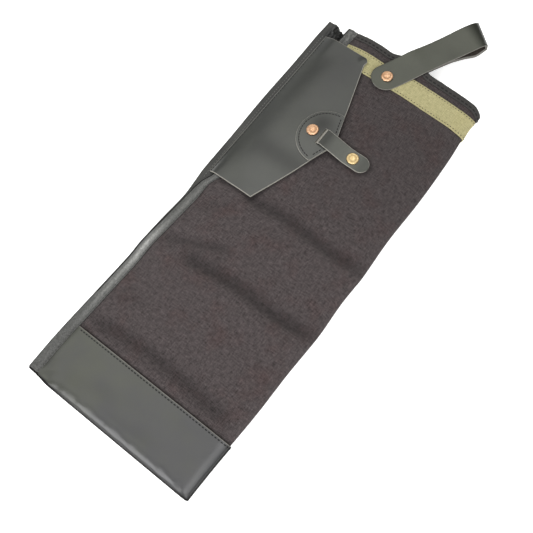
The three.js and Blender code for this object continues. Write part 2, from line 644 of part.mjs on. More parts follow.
// The four fasteners, each standing on the top sheet of the stack that it holds
const seatOn = (place, ...sheets) =>
  sheets.reduce((sum, thick) => sum + thick, frontHeight(place.x, place.y));
const handleFront = fastener(
  HANDLE_FRONT,
  seatOn(HANDLE_FRONT, WRAP, LYING_GAP, STRAP, GAP),
  STRAP + LYING_GAP + STRIPE + GAP + CANVAS,
);
const handleBack = fastener(HANDLE_BACK, CAP_HEIGHT, STRAP + GAP + STRIPE + GAP + CANVAS, true);
const flapRivet = fastener(
  FLAP_RIVET,
  flapUnder(FLAP_RIVET.x, FLAP_RIVET.y) + FLAP + GAP + PATCH + GAP,
  TAB + GAP + FLAP + GAP + PATCH,
);
const tabSnap = fastener(
  TAB_SNAP,
  seatOn(TAB_SNAP, LYING_GAP, TAB, GAP),
  TAB + LYING_GAP + CANVAS,
);

const bag = new THREE.Group();
function add(name, geometry, finish) {
  const mesh = new THREE.Mesh(geometry, new THREE.MeshStandardMaterial(finish));
  mesh.name = name;
  bag.add(mesh);
  return mesh;
}

function addRivet(name, { x, y, seat, stack, turn }, finish) {
  const mesh = add(name, rivet(stack), finish);
  mesh.position.set(x, y, seat);
  mesh.quaternion.copy(turn);
}

add("canvas_body", canvasBody(), DARK_CANVAS);
add("leather_bottom", leatherBottom(), LEATHER);
add("front_binding", frontBinding(), BOUND_LEATHER);
add("back_binding", backBinding(), BOUND_LEATHER);
add("mouth_binding", mouthBinding(), BOUND_LEATHER);
add("stripe", stripe(), KHAKI_COTTON);
add("flap", flap(), LEATHER);
add("flap_patch", flapPatch(), LEATHER);
add("closure_tab", closureTab(), LEATHER);
add("handle_strap", handleStrap(), LEATHER);
addRivet("handle_rivet_front", handleFront, COPPER);
addRivet("handle_rivet_back", handleBack, COPPER);
addRivet("flap_rivet", flapRivet, COPPER);
addRivet("tab_snap", tabSnap, BRASS);

export default bag;
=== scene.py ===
"""Drumstick bag: the sewn, riveted and woven pieces of the finished bag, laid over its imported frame."""

import math

import bmesh
import bpy
import numpy as np
from mathutils import Matrix, Quaternion, Vector


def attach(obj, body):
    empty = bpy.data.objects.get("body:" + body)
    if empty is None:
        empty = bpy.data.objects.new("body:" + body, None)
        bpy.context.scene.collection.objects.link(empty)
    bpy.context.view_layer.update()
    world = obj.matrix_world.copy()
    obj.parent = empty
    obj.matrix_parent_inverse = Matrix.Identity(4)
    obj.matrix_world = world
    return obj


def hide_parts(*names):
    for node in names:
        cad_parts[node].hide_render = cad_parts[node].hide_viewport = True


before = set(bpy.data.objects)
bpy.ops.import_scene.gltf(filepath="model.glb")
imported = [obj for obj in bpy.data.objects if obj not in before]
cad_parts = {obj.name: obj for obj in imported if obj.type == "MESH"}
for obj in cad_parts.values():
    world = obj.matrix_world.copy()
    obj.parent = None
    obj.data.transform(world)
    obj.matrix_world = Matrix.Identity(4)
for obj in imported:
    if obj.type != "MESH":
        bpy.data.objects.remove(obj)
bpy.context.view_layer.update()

MM = 0.001

# Sheet thicknesses, clearances and edges, in millimetres as all shape values are
CANVAS = 1.4
BINDING = 1.0
BOTTOM_LEATHER = 1.3
STRIPE = 1.0
FLAP = 1.8
PATCH = 1.2
TAB = 1.8
STRAP = 2.4
GAP = 0.25
LYING_GAP = 0.35
PARED = 0.55
PARED_SLOPE = 0.5
BINDING_EDGE = 0.25
STRIPE_EDGE = 0.3
CAP_EDGE = 0.12
WRAP = GAP + BINDING
EDGE_WRAP = CANVAS / 2 + WRAP
TRIM_LIFT = GAP + BINDING
BOTTOM_LIFT = GAP + BOTTOM_LEATHER
PATCH_TOP = FLAP + GAP + PATCH

# Pouch: its two ends, the rise of its front, its right fold and its rolled lower end
BOTTOM_Y = -229
SEAM_Y = -172
SEAM_OVERLAP = 12
SEAM_TUCK = 0.1
MOUTH_Y = 225.4
HALF_WIDTH = 95
EDGE_HEIGHT = 12
LEFT_RISE = 50
LEFT_POWER = 2.2
FOLD_HEIGHT = (5.2, 9.4)
FOLD_OPENS = (150, 196)
FOLD_FRONT = 18
FOLD_BACK = 6
END_FRONT = 11.5
END_BACK = 5
END_TURN = 0.88
END_SQUARE = 0.7
SQUARE_END = (12, 34)

# Stations go round the pouch: 0 to 1 on the front, 1 to 3 round the fold, 3 to 4 on the back. These say how
# far in from the bound edges the canvas starts to reach under the leather bottom, and the bottom starts to
# stand off for it, and which shares of a piece's columns lie on the front, the fold and the back
TUCK = (0.064, 0.085)
STAND_OFF = (0.0585, 0.068)
CANVAS_COLUMNS = (0, 0.52, 0.66, 1)
BAND_COLUMNS = (0, 0.48, 0.62, 1)
BOTTOM_COLUMNS = (0, 0.42, 0.5, 0.58, 1)

# Edge of the mouth: how far it sags on the front, drops at the fold, rises on the back and at the back's
# left corner, and is drawn up by the handle, with the stations where each begins and ends
MOUTH_SAG = 2.5
SAG_ROUND = (0.2, 0.8)
CORNER_DROP = 5
DROP_ROUND = (1.2, 2)
BACK_RISE = 2.5
RISE_ROUND = (2, 3)
LEFT_CORNER_RISE = 4.5
HANDLE_PULL = 4.0
PULL_FROM = (0.36, 0.46)
PULL_TO = (0.56, 0.71)

# Outline: the left edges of the back and of the front, the right fold, and the heights of the front's middle
# and of its bound edge
OUTLINE_COLUMNS = ("y", "left", "front", "right", "crown", "seam")
OUTLINE_ROWS = (
    (-229, -93.4, -92.9, 88.2, 13.0, 6.8),
    (-190, -93.7, -93.2, 89.4, 14.5, 6.8),
    (-140, -92.2, -91.6, 91.8, 15.5, 6.8),
    (-95, -91.5, -90.2, 92.2, 16.0, 6.8),
    (-76, -92.2, -90.8, 92.9, 16.0, 6.8),
    (-50, -91.6, -89.2, 93.8, 16.0, 6.8),
    (-16, -89.8, -87.0, 92.4, 16.0, 6.8),
    (3, -91.3, -85.0, 92.8, 16.0, 6.8),
    (16, -92.5, -80.5, 93.3, 16.0, 6.6),
    (60, -93.0, -75.5, 91.6, 16.2, 5.6),
    (110, -94.2, -74.2, 92.6, 16.5, 5.6),
    (160, -94.0, -72.8, 91.3, 17.0, 6.4),
    (186, -94.3, -72.0, 89.4, 17.3, 7.6),
    (200, -94.6, -71.6, 88.3, 17.5, 8.4),
    (214, -94.3, -71.1, 89.3, 17.5, 8.9),
    (227, -93.8, -70.6, 90.0, 17.5, 9.2),
)
OUTLINE = dict(zip(OUTLINE_COLUMNS, np.array(OUTLINE_ROWS, float).T))

# Folds pressed into the canvas front: depth (a ridge is negative), width, and the way each runs
FOLDS = (
    (3.6, 6.5, ((-35, 15), (8, 20.5), (53, 17.5), (89, 20))),
    (3.0, 6, ((-75, -61), (-45, -48), (-15, -36))),
    (4.4, 7, ((-46, -64), (-17, -61), (16, -58), (51, -60), (89, -55))),
    (3.4, 7.5, ((-77, -159), (-41, -154), (-8, -152), (28, -153), (77, -157))),
    (1.4, 7, ((-76, -130), (-44, -119))),
    (1.4, 7, ((-71, -17), (-42, -2))),
    (-1.4, 11, ((-65, -46), (-28, -25), (8, -14), (46, -8))),
    (-1.4, 11, ((-24, -75), (23, -79), (80, -76))),
)
FOLD_TAPER = 14

# Hollow that the handle presses into the front at the mouth: depth, where across, width, where along
MOUTH_HOLLOW = 4.6
HOLLOW_X = -14
HOLLOW_WIDTH = 22
HOLLOW_Y = (165, 222)

# Gentle unevenness of the cloth: wave length, direction in degrees, phase and height
RIPPLES = (
    (61, 20, 0.4, 0.16),
    (47, 75, 2.1, 0.14),
    (38, 130, 4.0, 0.11),
    (29, 50, 5.2, 0.08),
    (23, 105, 1.3, 0.06),
    (17, 165, 3.1, 0.04),
)

# Leather bottom: the rows that lie flat before it turns under, its rounded side corners, the dents and the
# crease along its turn, and the painted shade on its rolled end, its right fold's rim and by its left corner
BOTTOM_ROWS = 44
BOTTOM_FLAT = 0.62
SEAM_ROW = 0.012
SEWN_RIM = 0.5
CORNER_RADIUS = 1.6
CORNER_REACH = 0.06
CORNER_DOWN = (0.4, 1)
DENT_TURN = (0.3, 0.22)
DENT_SPREAD = 0.55
DENT_SEED = 1.1
DENT_HEIGHT = 0.2
CORNER_CREASE = ((-84, -223), (-70, -213))
CREASE_WIDTH = 3
CREASE_HEIGHT = 0.4
CORNER_SHADE_AT = (-81, -211)
CORNER_SHADE_WIDTH = 8
CORNER_SHADE_DARK = 0.32
END_DARKENS = (0.4, 0.66)
FOLD_DARKENS = (1.35, 1.95)
FOLD_CLEARS = (2.3, 2.8)
FOLDED_DARK = 0.8

# Bindings and stripe
FRONT_BINDING_WIDTH = 10
BINDING_FLAT = 7
BACK_BINDING_WIDTH = 12
MOUTH_BINDING_WIDTH = 6
BINDING_BOTTOM = BOTTOM_Y + 2
FRONT_BINDING_TOP = MOUTH_Y - 0.6
BACK_BINDING_PAST = 1
FOLDED_COLUMNS = (0, 0.4, 0.6, 1)
ON_TOP = 0.2
STRIPE_FROM = 186
STRIPE_TO = 208.8
STRIPE_CLEAR = 1
BAND_ROOM = 2 * GAP
MOUTH_ROLL = 0.15
MOUTH_ROLL_AT = (1.6, 1.4)

# Cross wrinkles: wave length and height of each wave, then each binding's seed and height, and how close to
# its edges they fade out
WRINKLE_WAVES = ((9.0, 1.0), (5.7, 0.7), (14.0, 0.9), (3.9, 0.45))
FRONT_WRINKLES = (1.7, 0.14)
FRONT_WRINKLE_SLANT = 1.5
BACK_WRINKLES = (0.6, 0.07)
MOUTH_WRINKLES = (2.9, 0.05)
MOUTH_WRINKLE_SPREAD = 90
WRINKLE_FADE = 2

# Front binding: a roll that fills out above the leather bottom, flattens and narrows towards the flap, has a
# painted highlight along its crest and painted shade on its outer turn and its lower end, and is crumpled at
# its upper end, with painted highlights on its folds there
ROLL_HEIGHT = 2.4
ROLL_WIDTH = 8.6
ROLL_POWER = 1.2
ROLL_LOW = (0.15, 0.3)
ROLL_FILLS = (SEAM_Y - 4, SEAM_Y + 40)
ROLL_FLATTENS = (-62, -28)
ROLL_NARROWS = 0.4
ROLL_NARROW_Y = (12, 15)
ROLL_CREST = (5.6, 2.4)
ROLL_HIGHLIGHT_Y = (-180, -160, -136, -112, -100, -76, -64, -52, -40, 4, 30)
ROLL_HIGHLIGHT = (0, 0.08, 0.3, 0.36, 0.7, 1, 0.6, 0.28, 0.14, 0.12, 0)
DARK_END = 1.5
DARK_TURN = (0.9, 1.7)
DARK_TURN_Y = (SEAM_Y, SEAM_Y + 45)
TOP_CRUMPLED = (203, 212)
TOP_CRUMPLE = 0.45
TOP_HIGHLIGHT = 0.22
TOP_FOLD = (0.5, -0.35)
TOP_BEND = (0.45, 0.6)
TOP_BEND_HEIGHT = 2.2

# Open top corner of the back binding, where the leather is wider, bunched up, drawn in and painted dark as
# shade in its hollows. A wave has a height, how fast it runs in from the edge and along it, and a phase
STRAIGHT_FROM = 219
CORNER_FLARE = 16
CORNER_FLARE_Y = (198, 208)
CORNER_BUNCH = 4.2
CORNER_BUNCH_Y = (198, 212)
CORNER_BUNCH_IN = (4, 11)
CORNER_WAVES = ((1.3, 1.1, 0.45, 0), (0.9, 0.5, -0.8, 1.0))
CORNER_DRAWN = 0.6
CORNER_DRAWN_FROM = 6
CORNER_DRAWN_Y = (206, 228)
CORNER_DARK_IN = (5, 9)
CORNER_DARKEST_IN = (15, 21)
CORNER_DARK = (0.15, 1.0)
CORNER_HOLLOW = (1.5, 0.35)
CORNER_HOLLOW_BEND = (1.2, 0.5)

# How far from each trim on the back the canvas comes down to the floor
BOTTOM_FADE = (2, 30)
STRIPE_FADE = (2, 26)
SIDE_FADE = (1, 26)
CORNER_FADE = 4
HANDLE_CLEAR = (8, 30)

# Flap: its cut, its slanting ends, its turned-up free corners (height and reach), and where it is dark:
# painted shade along its sewn edge and in a soft bend, and darker towards its upper end
FLAP_FROM = 14.5
FLAP_TO = 202.5
FLAP_MIDDLE = 103.5
FLAP_LEFT = -85.3
FLAP_CORNER_X = -33
FLAP_TIP_X = -1.4
FLAP_SEWN_TO = FLAP_LEFT + 0.8
FLAP_ARC_TO = -22
FLAP_ARC = 2.2
FLAP_SLANT_LOW = (2.4, -0.1)
FLAP_SLANT_HIGH = (3.3, -1.7)
TURNED_CORNER = (-33, 197)
TURNED_UP = (1.6, 5)
LOW_CORNER_UP = (1.6, 18)
EAR = (2.4, 3)
EAR_FROM = 0.85
FLAP_SEAM_SHADE = (0.42, 0.0)
FLAP_SEAM_SHADE_Y = (20, 160)
FLAP_SEAM_SHADE_REACH = (24, 36)
FLAP_SEAM_SHADE_FROM = 0.15
FLAP_UPPER_DARK = 0.5
FLAP_UPPER_DARK_Y = (55, 185)
FLAP_UPPER_DARK_X = (4, 15)
FLAP_BEND = (65, 13)
FLAP_BEND_X = (-80, -50)
FLAP_BEND_SHADE = 0.6
SEWN_EDGE = 1
CUT_EDGE_ANGLE = 60

# What the flap lies on: the front binding, the stripe, and the tab's hidden end
OVER_EDGE = (3, 22)
OVER_STRIPE = (3, 18)
POCKET_X = (-40, -15)
POCKET_MARGIN = 3
POCKET_FADE = (15, 30)

# Patch and tab, and the painted shade on each
PATCH_CENTRE = (-12, 104.7)
PATCH_RADIUS = 29.2
PATCH_SHADE_AT = (-24, 114)
PATCH_SHADE_WIDTH = 14
PATCH_DARK = 0.95
TAB_Y = 102.6
TAB_HALF_WIDTH = 8.8
TAB_HIDDEN_END = -38
TAB_TIP = 37.2
TAB_SHADE = (0.75, 0.45)
TAB_SHADE_SLOT = (-13, 2)
TAB_SHADE_TIP = (20, 32)
SLOT = (-17.9, -13.9)
SLOT_ROOM = 0.5
SLOT_CUT = (20, 60)
SLOT_NEAR = 0.05
SLOT_WALL = 0.3
TAB_CLIMB = 0.4
CLIMB_ROOM = 1

# Painted shade on the canvas front: along the leather edges that lie on it and the bottom's seam, in its
# folds, and towards the mouth
FLAP_RIM = (
    (-80, 16.5),
    (FLAP_CORNER_X, FLAP_FROM),
    (FLAP_TIP_X, FLAP_MIDDLE),
    (FLAP_CORNER_X, FLAP_TO - 2),
)
TAB_RIM = ((0, 112), (30, 112), (37, 108), (38.4, 102.6), (37, 97), (30, 93.4), (0, 93.4))
EDGE_SHADE_WIDTH = 2.4
EDGE_SHADE_DARK = 0.55
SEAM_SHADE_WIDTH = 1.7
FULL_FOLD = 3.6
FOLD_SHADE = 0.58
UPPER_SHADE_Y = (-20, 160)
UPPER_SHADE_DARK = 0.25

# Handle: a strap from its front rivet over a slanted fold to its back rivet
STRAP_HALF_WIDTH = 14.25
HANDLE_FRONT = (-4.8, 195)
HANDLE_BACK = (-19, 197)
HANDLE_FOLD = (43.9, 297.5)
HANDLE_END = 16
HANDLE_LIES_TO = 34
HANDLE_FALL = ((48, 18.0), (62, 17.6), (76, 17.4))
HANDLE_TILT = 0.08
HANDLE_SAG_SPAN = (28, 96)
HANDLE_TURNS = (0.3, 0.7)
LOOP_TOP = 17.7
LOOP_REACH = 9
LOOP_ENTRY = 1.6
SHOULDER_REACH = 0.6
SHOULDER_DROP = 1.8
UNDER_RISE = (5.0, 40, 80)
UNDER_BOW = (0.2, 8, 34)
FOLD_SLANT = 0.2
FOLD_SLANT_REACH = 0.07
FOLD_DARK = (20, 5)
STRAP_END_DARK = 0.78
STRAP_FLOOR = 0.15
STRAP_SETTLES = (10, 30)
LIFT_SPAN = (28, 50)

# Rivets and snap: the cap's profile is in shares of its radius and height
CAP_RADIUS = 6
CAP_HEIGHT = 1.5
CAP_PROFILE = (
    (1.0, 0.3), (0.98, 0.55), (0.92, 0.8), (0.83, 0.95), (0.74, 1.0), (0.64, 0.97),
    (0.52, 0.88), (0.32, 0.88), (0.24, 0.95), (0.1, 0.98),
)
CAP_CORNERS = 56
CAP_TARNISH = (0.56, 0.17)
CAP_EDGE_ANGLE = 60
POST_RADIUS = 2
BURR_RADIUS = 4.5
BURR_HEIGHT = 0.8
FLAP_RIVET = (-27.2, 103.2)
TAB_SNAP = (19.8, 102.8)

# Rows of stitches: the distance from one stitch to the next, and a stitch's length, width and height
BOTTOM_STITCH = (3.4, (2.3, 1.15, 0.8))
STRIPE_STITCH = (3.2, (1.5, 0.75, 0.5))
MOUTH_STITCH = (4.6, (3.3, 1.8, 1.1))
FRONT_STITCH = (3.2, (1.8, 0.8, 0.6))
BACK_STITCH = (3.2, (1.9, 0.9, 0.7))
FLAP_STITCH = (3.4, (2.1, 0.8, 0.6))
PATCH_STITCH = (3.0, (2.5, 0.95, 0.7))

# How far in from its edge each row lies, and where it begins and ends
BOTTOM_INSET = 2.1
BOTTOM_SEWN = 0.085
STRIPE_INSET = 1.8
STRIPE_SEWN = 1.5
MOUTH_INSET = 3.6
FRONT_INSET = 8.9
BACK_INSET = 3.9
BACK_SEWN_Y = (FLAP_FROM - 6, FLAP_TO + 4)
FLAP_INSET = 1.7
PATCH_INSET = 3.0
PATCH_ARC = (74, 286)
PATCH_TIP_Y = (82, 129)
END_CLEAR = 2
BINDING_STITCH_LIFT = 0.05
STITCH_SINK = 0.35
PRESSED_STITCH = 0.12
PRESSED_BELOW = (0.1, 0.7)
STITCH_BLUNT = 0.6

# Stage and camera: metres, apart from the camera's place in millimetres. A light has a name, a place, an
# aim, a size, a power and a tint
FLOOR_SIZE = 6.0
FLOOR_LEVEL = -0.0002
FLOOR_GLOW = 0.5
ROOM_LIGHT = 0.35
LIGHTS = (
    ("overhead_light", (-0.5, 0.725, 1.45), (-0.5, 0.725, 0), (2.3, 2.45), 26.3, (1, 1, 0.94)),
    ("near_light", (-0.2, -1.15, 0.85), (0, -0.05, 0), (0.9, 0.9), 13.5, (1, 1, 1)),
    ("right_light", (0.9, -0.55, 0.85), (0, 0, 0), (0.9, 0.9), 10, (1, 1, 1)),
    ("left_light", (-1.9, -0.35, 1.15), (0, -0.2, 0), (0.9, 0.9), 3, (1, 1, 1)),
)
CAMERA_PLACE = (157.70, -185.07, 630.28)
CAMERA_LOOK = (-0.2129, 0.2398, -0.9472)
CAMERA_UP = (-0.5713, 0.7559, 0.3198)
CAMERA_LENS = 48.87
CAMERA_SENSOR = 36
CAMERA_NEAR = 0.01


# Form of the pouch and of the flap on it


def lerp(a, b, t):
    return a + (b - a) * t


def smoothstep(x, low, high):
    t = np.clip((x - low) / (high - low), 0, 1)
    return t * t * (3 - 2 * t)


def fade(x, low, high):
    return 1 - smoothstep(x, low, high)


def bell(x, middle, width):
    """1 at the middle, fading out to both sides of it."""
    return np.exp(-(((x - middle) / width) ** 2))


def bell_round(x, y, middle, width):
    """1 at a place, fading out all round it."""
    return bell(np.hypot(x - middle[0], y - middle[1]), 0, width)


def unit(vectors):
    return vectors / np.linalg.norm(vectors, axis=-1, keepdims=True)


def run_lengths(points, power=1):
    """Length of a way up to each of its points. A power under 1 evens out long and short steps."""
    steps = np.linalg.norm(np.diff(points, axis=0), axis=-1)
    return np.concatenate([[0], np.cumsum(steps**power)])


def between(at, stations, points):
    """Points at places between the stations of the given ones."""
    return np.stack([np.interp(at, stations, column) for column in points.T], -1)


def outline(column, y):
    """One outline column at y: a cubic through the rows."""
    ys, values = OUTLINE["y"], OUTLINE[column]
    last = len(ys) - 1
    before = np.maximum(np.arange(last + 1) - 1, 0)
    after = np.minimum(np.arange(last + 1) + 1, last)
    slope = (values[after] - values[before]) / (ys[after] - ys[before])
    y = np.clip(y, ys[0], ys[-1])
    i = np.clip(np.searchsorted(ys, y) - 1, 0, last - 1)
    span = ys[i + 1] - ys[i]
    t = (y - ys[i]) / span
    start = slope[i] * span * t * (1 - t) ** 2
    end = slope[i + 1] * span * t * t * (t - 1)
    return lerp(values[i], values[i + 1], t * t * (3 - 2 * t)) + start + end


def away_from(x, y, way):
    """Distance from a line through the given points."""
    nearest = np.full(np.shape(x + y), 1e6)
    for (ax, ay), (bx, by) in zip(way, way[1:]):
        run = np.array((bx - ax, by - ay), float)
        t = np.clip(((x - ax) * run[0] + (y - ay) * run[1]) / (run @ run), 0, 1)
        nearest = np.minimum(nearest, np.hypot(x - ax - t * run[0], y - ay - t * run[1]))
    return nearest


def fold_depth(x, y):
    """How far the folds press the canvas front in."""
    depth = 0
    for deep, width, way in FOLDS:
        ends = np.minimum(x - way[0][0], way[-1][0] - x)
        taper = smoothstep(ends, -FOLD_TAPER, FOLD_TAPER)
        depth = depth + deep * bell(away_from(x, y, way), 0, width) * taper
    return depth


def edge_shade(x, y):
    """Painted shade on the canvas front along the leather edges that lie on it and along the bottom's seam,
    from 0 to 1.
    """
    near = np.minimum(away_from(x, y, FLAP_RIM), away_from(x, y, TAB_RIM))
    return np.maximum(EDGE_SHADE_DARK * bell(near, 0, EDGE_SHADE_WIDTH), bell(y, SEAM_Y, SEAM_SHADE_WIDTH))


def ripple(x, y):
    height = 0
    for length, degrees, phase, tall in RIPPLES:
        turn = math.radians(degrees)
        along = x * math.cos(turn) + y * math.sin(turn)
        height = height + tall * np.sin(2 * math.pi * along / length + phase)
    return height


def front_height(x, y, folded=True):
    """Height of the canvas front, rising from the bound left edge to the crowned middle."""
    middle = lerp(EDGE_HEIGHT, outline("crown", y), 1 - (x / HALF_WIDTH) ** 2)
    middle = middle - MOUTH_HOLLOW * bell(x, HOLLOW_X, HOLLOW_WIDTH) * smoothstep(y, *HOLLOW_Y)
    if folded:
        middle = middle - fold_depth(x, y) + ripple(x, y)
    t = np.clip((x - outline("front", y) - EDGE_WRAP - BINDING_FLAT) / LEFT_RISE, 0, 1)
    return lerp(outline("seam", y), middle, 1 - (1 - t) ** LEFT_POWER)


HANDLE_RUN = math.dist(HANDLE_BACK, HANDLE_FOLD)
HANDLE_WAY = tuple((fold - back) / HANDLE_RUN for back, fold in zip(HANDLE_BACK, HANDLE_FOLD))
RIVET_ROOM = CAP_HEIGHT + GAP


def strap_under(along):
    """Height of the strap's underside over the floor, along its way from the back rivet."""
    return lerp(STRAP_FLOOR, RIVET_ROOM, fade(along, *STRAP_SETTLES))


def handle_lift(x, y):
    """How far the strap under the back panel lifts it."""
    along = (x - HANDLE_BACK[0]) * HANDLE_WAY[0] + (y - HANDLE_BACK[1]) * HANDLE_WAY[1]
    across = (x - HANDLE_BACK[0]) * HANDLE_WAY[1] - (y - HANDLE_BACK[1]) * HANDLE_WAY[0]
    side = fade(np.abs(across), *LIFT_SPAN)
    end = fade(-along, *LIFT_SPAN)
    return (strap_under(along) + STRAP + GAP) * side * end


def back_height(x, y):
    """Height of the canvas back's outer face over the floor."""
    left = outline("left", y) + EDGE_WRAP + BACK_BINDING_WIDTH
    clear = lerp(TRIM_LIFT, BOTTOM_LIFT, smoothstep(x - left, 0, CORNER_FADE))
    bottom = clear * fade(y - SEAM_Y, *BOTTOM_FADE)
    top = TRIM_LIFT * fade(STRIPE_FROM - y, *STRIPE_FADE)
    side = TRIM_LIFT * fade(x - left, *SIDE_FADE)
    lifted = handle_lift(x, y) * smoothstep(x - left, *HANDLE_CLEAR)
    return np.maximum(np.maximum(bottom, top), side) + lifted


def shell_point(u, y, turn=0.0):
    """Outer face of the pouch at station u. turn is how far its lower end has rolled under, up to 1."""
    u, y, turn = np.broadcast_arrays(np.asarray(u, float), y, turn)
    on_front = u <= 2
    depth = np.where(on_front, FOLD_FRONT, FOLD_BACK)
    start = outline("right", y) - depth
    around = np.clip(u - 1, 0, 2)
    angle = around * math.pi / 2
    edge = np.where(on_front, outline("front", y), outline("left", y)) + EDGE_WRAP
    x = start + depth * np.sin(angle)
    x = np.where(u < 1, lerp(edge, start, u), x)
    x = np.where(u > 3, lerp(start, edge, u - 3), x)
    panel = np.where(on_front, front_height(x, y), back_height(x, y))
    roll = turn * math.pi / 2
    square = fade(x - edge, *SQUARE_END)
    flat = np.abs(np.cos(angle)) * lerp(np.abs(np.cos(roll)) ** END_SQUARE, 1, square)
    end = lerp(END_FRONT, END_BACK, around / 2)
    down = np.sign(roll) * np.abs(np.sin(roll)) ** END_SQUARE
    fold = lerp(*FOLD_HEIGHT, smoothstep(y, *FOLD_OPENS))
    return np.stack([x, y - end * down, lerp(fold, panel, flat)], -1)


def shell_frame(u, y, turn=0.0):
    """The point, the outward normal, and the directions round the pouch and towards its mouth."""
    u, y, turn = np.broadcast_arrays(np.asarray(u, float), y, turn)
    du, dy, dturn = 0.006, 0.2, 0.02
    point = shell_point(u, y, turn)
    across = shell_point(np.minimum(u + du, 4), y, turn) - shell_point(np.maximum(u - du, 0), y, turn)
    rolled = shell_point(u, y, turn - dturn) - shell_point(u, y, turn + dturn)
    straight = shell_point(u, y + dy) - shell_point(u, y - dy)
    mouth = np.where(turn[..., None] > 0, rolled, straight)
    return point, unit(np.cross(across, mouth)), unit(across), unit(mouth)


def on_shell(u, y, height, turn=0.0):
    """Points at a height over the pouch's outer face, and the normals there."""
    point, normal, _, _ = shell_frame(u, y, turn)
    return point + normal * np.broadcast_to(height, u.shape)[:, None], normal


def front_share(d, y):
    """Station on the front that lies d in from its bound edge."""
    return d / (outline("right", y) - FOLD_FRONT - outline("front", y) - EDGE_WRAP)


def back_share(d, y):
    """How many stations before the last one the back is d in from its bound edge."""
    return d / (outline("right", y) - FOLD_BACK - outline("left", y) - EDGE_WRAP)


def inside_bindings(room, y):
    """First and last station between the two side bindings, with some room beside each."""
    return front_share(FRONT_BINDING_WIDTH + room, y), 4 - back_share(BACK_BINDING_WIDTH + room, y)


def mouth_edge(u):
    """Where along y the canvas ends at the mouth."""
    front = MOUTH_SAG * smoothstep(u, *SAG_ROUND)
    fold = CORNER_DROP * smoothstep(u, *DROP_ROUND)
    pulled = HANDLE_PULL * smoothstep(u, *PULL_FROM) * fade(u, *PULL_TO)
    back = BACK_RISE * smoothstep(u, *RISE_ROUND) + LEFT_CORNER_RISE * smoothstep(u, 4 - TUCK[1], 4)
    return MOUTH_Y - EDGE_WRAP - front - fold + back + pulled


def stripe_drop(u):
    """How far the stripe lies lower to stay clear of the mouth's binding."""
    return np.maximum(0, STRIPE_TO + MOUTH_BINDING_WIDTH + STRIPE_CLEAR - mouth_edge(u))


def flap_right(y):
    """The flap's free edge: two straight cuts that meet in its blunt point."""
    reach = np.where(y < FLAP_MIDDLE, FLAP_MIDDLE - FLAP_FROM, FLAP_TO - FLAP_MIDDLE)
    return lerp(FLAP_TIP_X, FLAP_CORNER_X, np.abs(y - FLAP_MIDDLE) / reach)


TAB_POCKET = TAB + BURR_HEIGHT + GAP + LYING_GAP
SEWN_LEVEL = TRIM_LIFT + CANVAS + GAP + BINDING + GAP


def tab_pocket(x, y):
    """How far the tab's hidden end and the rivet's burr lift the flap."""
    past_x = np.maximum(np.maximum(POCKET_X[0] - x, x - POCKET_X[1]), 0)
    past_y = np.maximum(np.abs(y - TAB_Y) - TAB_HALF_WIDTH - POCKET_MARGIN, 0)
    inside_x = fade(past_x, 0, POCKET_FADE[0])
    inside_y = fade(past_y, 0, POCKET_FADE[1])
    return TAB_POCKET * inside_x * inside_y


def flap_rest(x, y):
    """Height that the flap would have if it followed everything under it."""
    edge = outline("front", y)
    over_edge = fade(x - edge - FRONT_BINDING_WIDTH, *OVER_EDGE)
    over_stripe = fade(STRIPE_FROM - y, *OVER_STRIPE)
    lying = front_height(x, y, folded=False) + LYING_GAP + WRAP * np.maximum(over_edge, over_stripe)
    climb = smoothstep(x, FLAP_SEWN_TO, edge - 1)
    return lerp(SEWN_LEVEL, lying + tab_pocket(x, y), climb)


def flap_arc(x, y):
    """Height of stiff leather that rises steeply from its sewn edge and levels out over the canvas."""
    top = front_height(FLAP_ARC_TO, y, folded=False) + LYING_GAP
    t = np.clip((x - FLAP_SEWN_TO) / (FLAP_ARC_TO - FLAP_SEWN_TO), 0, 1)
    return lerp(SEWN_LEVEL, top, 1 - (1 - t) ** FLAP_ARC)


def pulled_tight(x, heights):
    """The lowest sheet without hollows over the given heights."""
    hull = []
    for point in zip(x, heights):
        while len(hull) > 1:
            (ax, az), (bx, bz) = hull[-2:]
            if (bz - az) * (point[0] - ax) > (point[1] - az) * (bx - ax):
                break
            hull.pop()
        hull.append(point)
    return np.interp(x, *zip(*hull))


TAUT_X = np.linspace(-90, 0, 91)
TAUT_Y = np.linspace(6, 212, 104)
TAUT_BLUR = 3


def soften(heights):
    """Evens out a row of heights and keeps its slope at both ends."""
    reach = 3 * TAUT_BLUR
    weights = np.exp(-0.5 * (np.arange(-reach, reach + 1) / TAUT_BLUR) ** 2)
    padded = np.pad(heights, reach, mode="reflect", reflect_type="odd")
    return np.convolve(padded, weights / weights.sum(), mode="valid")


def taut_heights():
    """Underside of the flap: leather pulled from its sewn edge over the binding and the canvas."""
    rows = []
    for y in TAUT_Y:
        sewn = TAUT_X < FLAP_SEWN_TO
        lying = np.maximum(flap_rest(TAUT_X, np.full_like(TAUT_X, y)), flap_arc(TAUT_X, y))
        heights = np.where(sewn, SEWN_LEVEL, lying)
        heights[~sewn] = soften(pulled_tight(TAUT_X[~sewn], heights[~sewn]))
        rows.append(heights)
    return np.array([soften(column) for column in np.array(rows).T]).T


TAUT = taut_heights()


def flap_under(x, y):
    """Height of the flap's underside."""
    at_x = np.clip((x - TAUT_X[0]) / (TAUT_X[1] - TAUT_X[0]), 0, len(TAUT_X) - 1.001)
    at_y = np.clip((y - TAUT_Y[0]) / (TAUT_Y[1] - TAUT_Y[0]), 0, len(TAUT_Y) - 1.001)
    i, j = np.floor(at_x).astype(int), np.floor(at_y).astype(int)
    low = lerp(TAUT[j, i], TAUT[j, i + 1], at_x - i)
    high = lerp(TAUT[j + 1, i], TAUT[j + 1, i + 1], at_x - i)
    return lerp(low, high, at_y - j)


# Modelling helpers


def select_only(piece):
    bpy.ops.object.select_all(action="DESELECT")
    piece.select_set(True)
    bpy.context.view_layer.objects.active = piece


def vertex_places(piece):
    places = np.empty(len(piece.data.vertices) * 3)
    piece.data.vertices.foreach_get("co", places)
    return places.reshape(-1, 3)


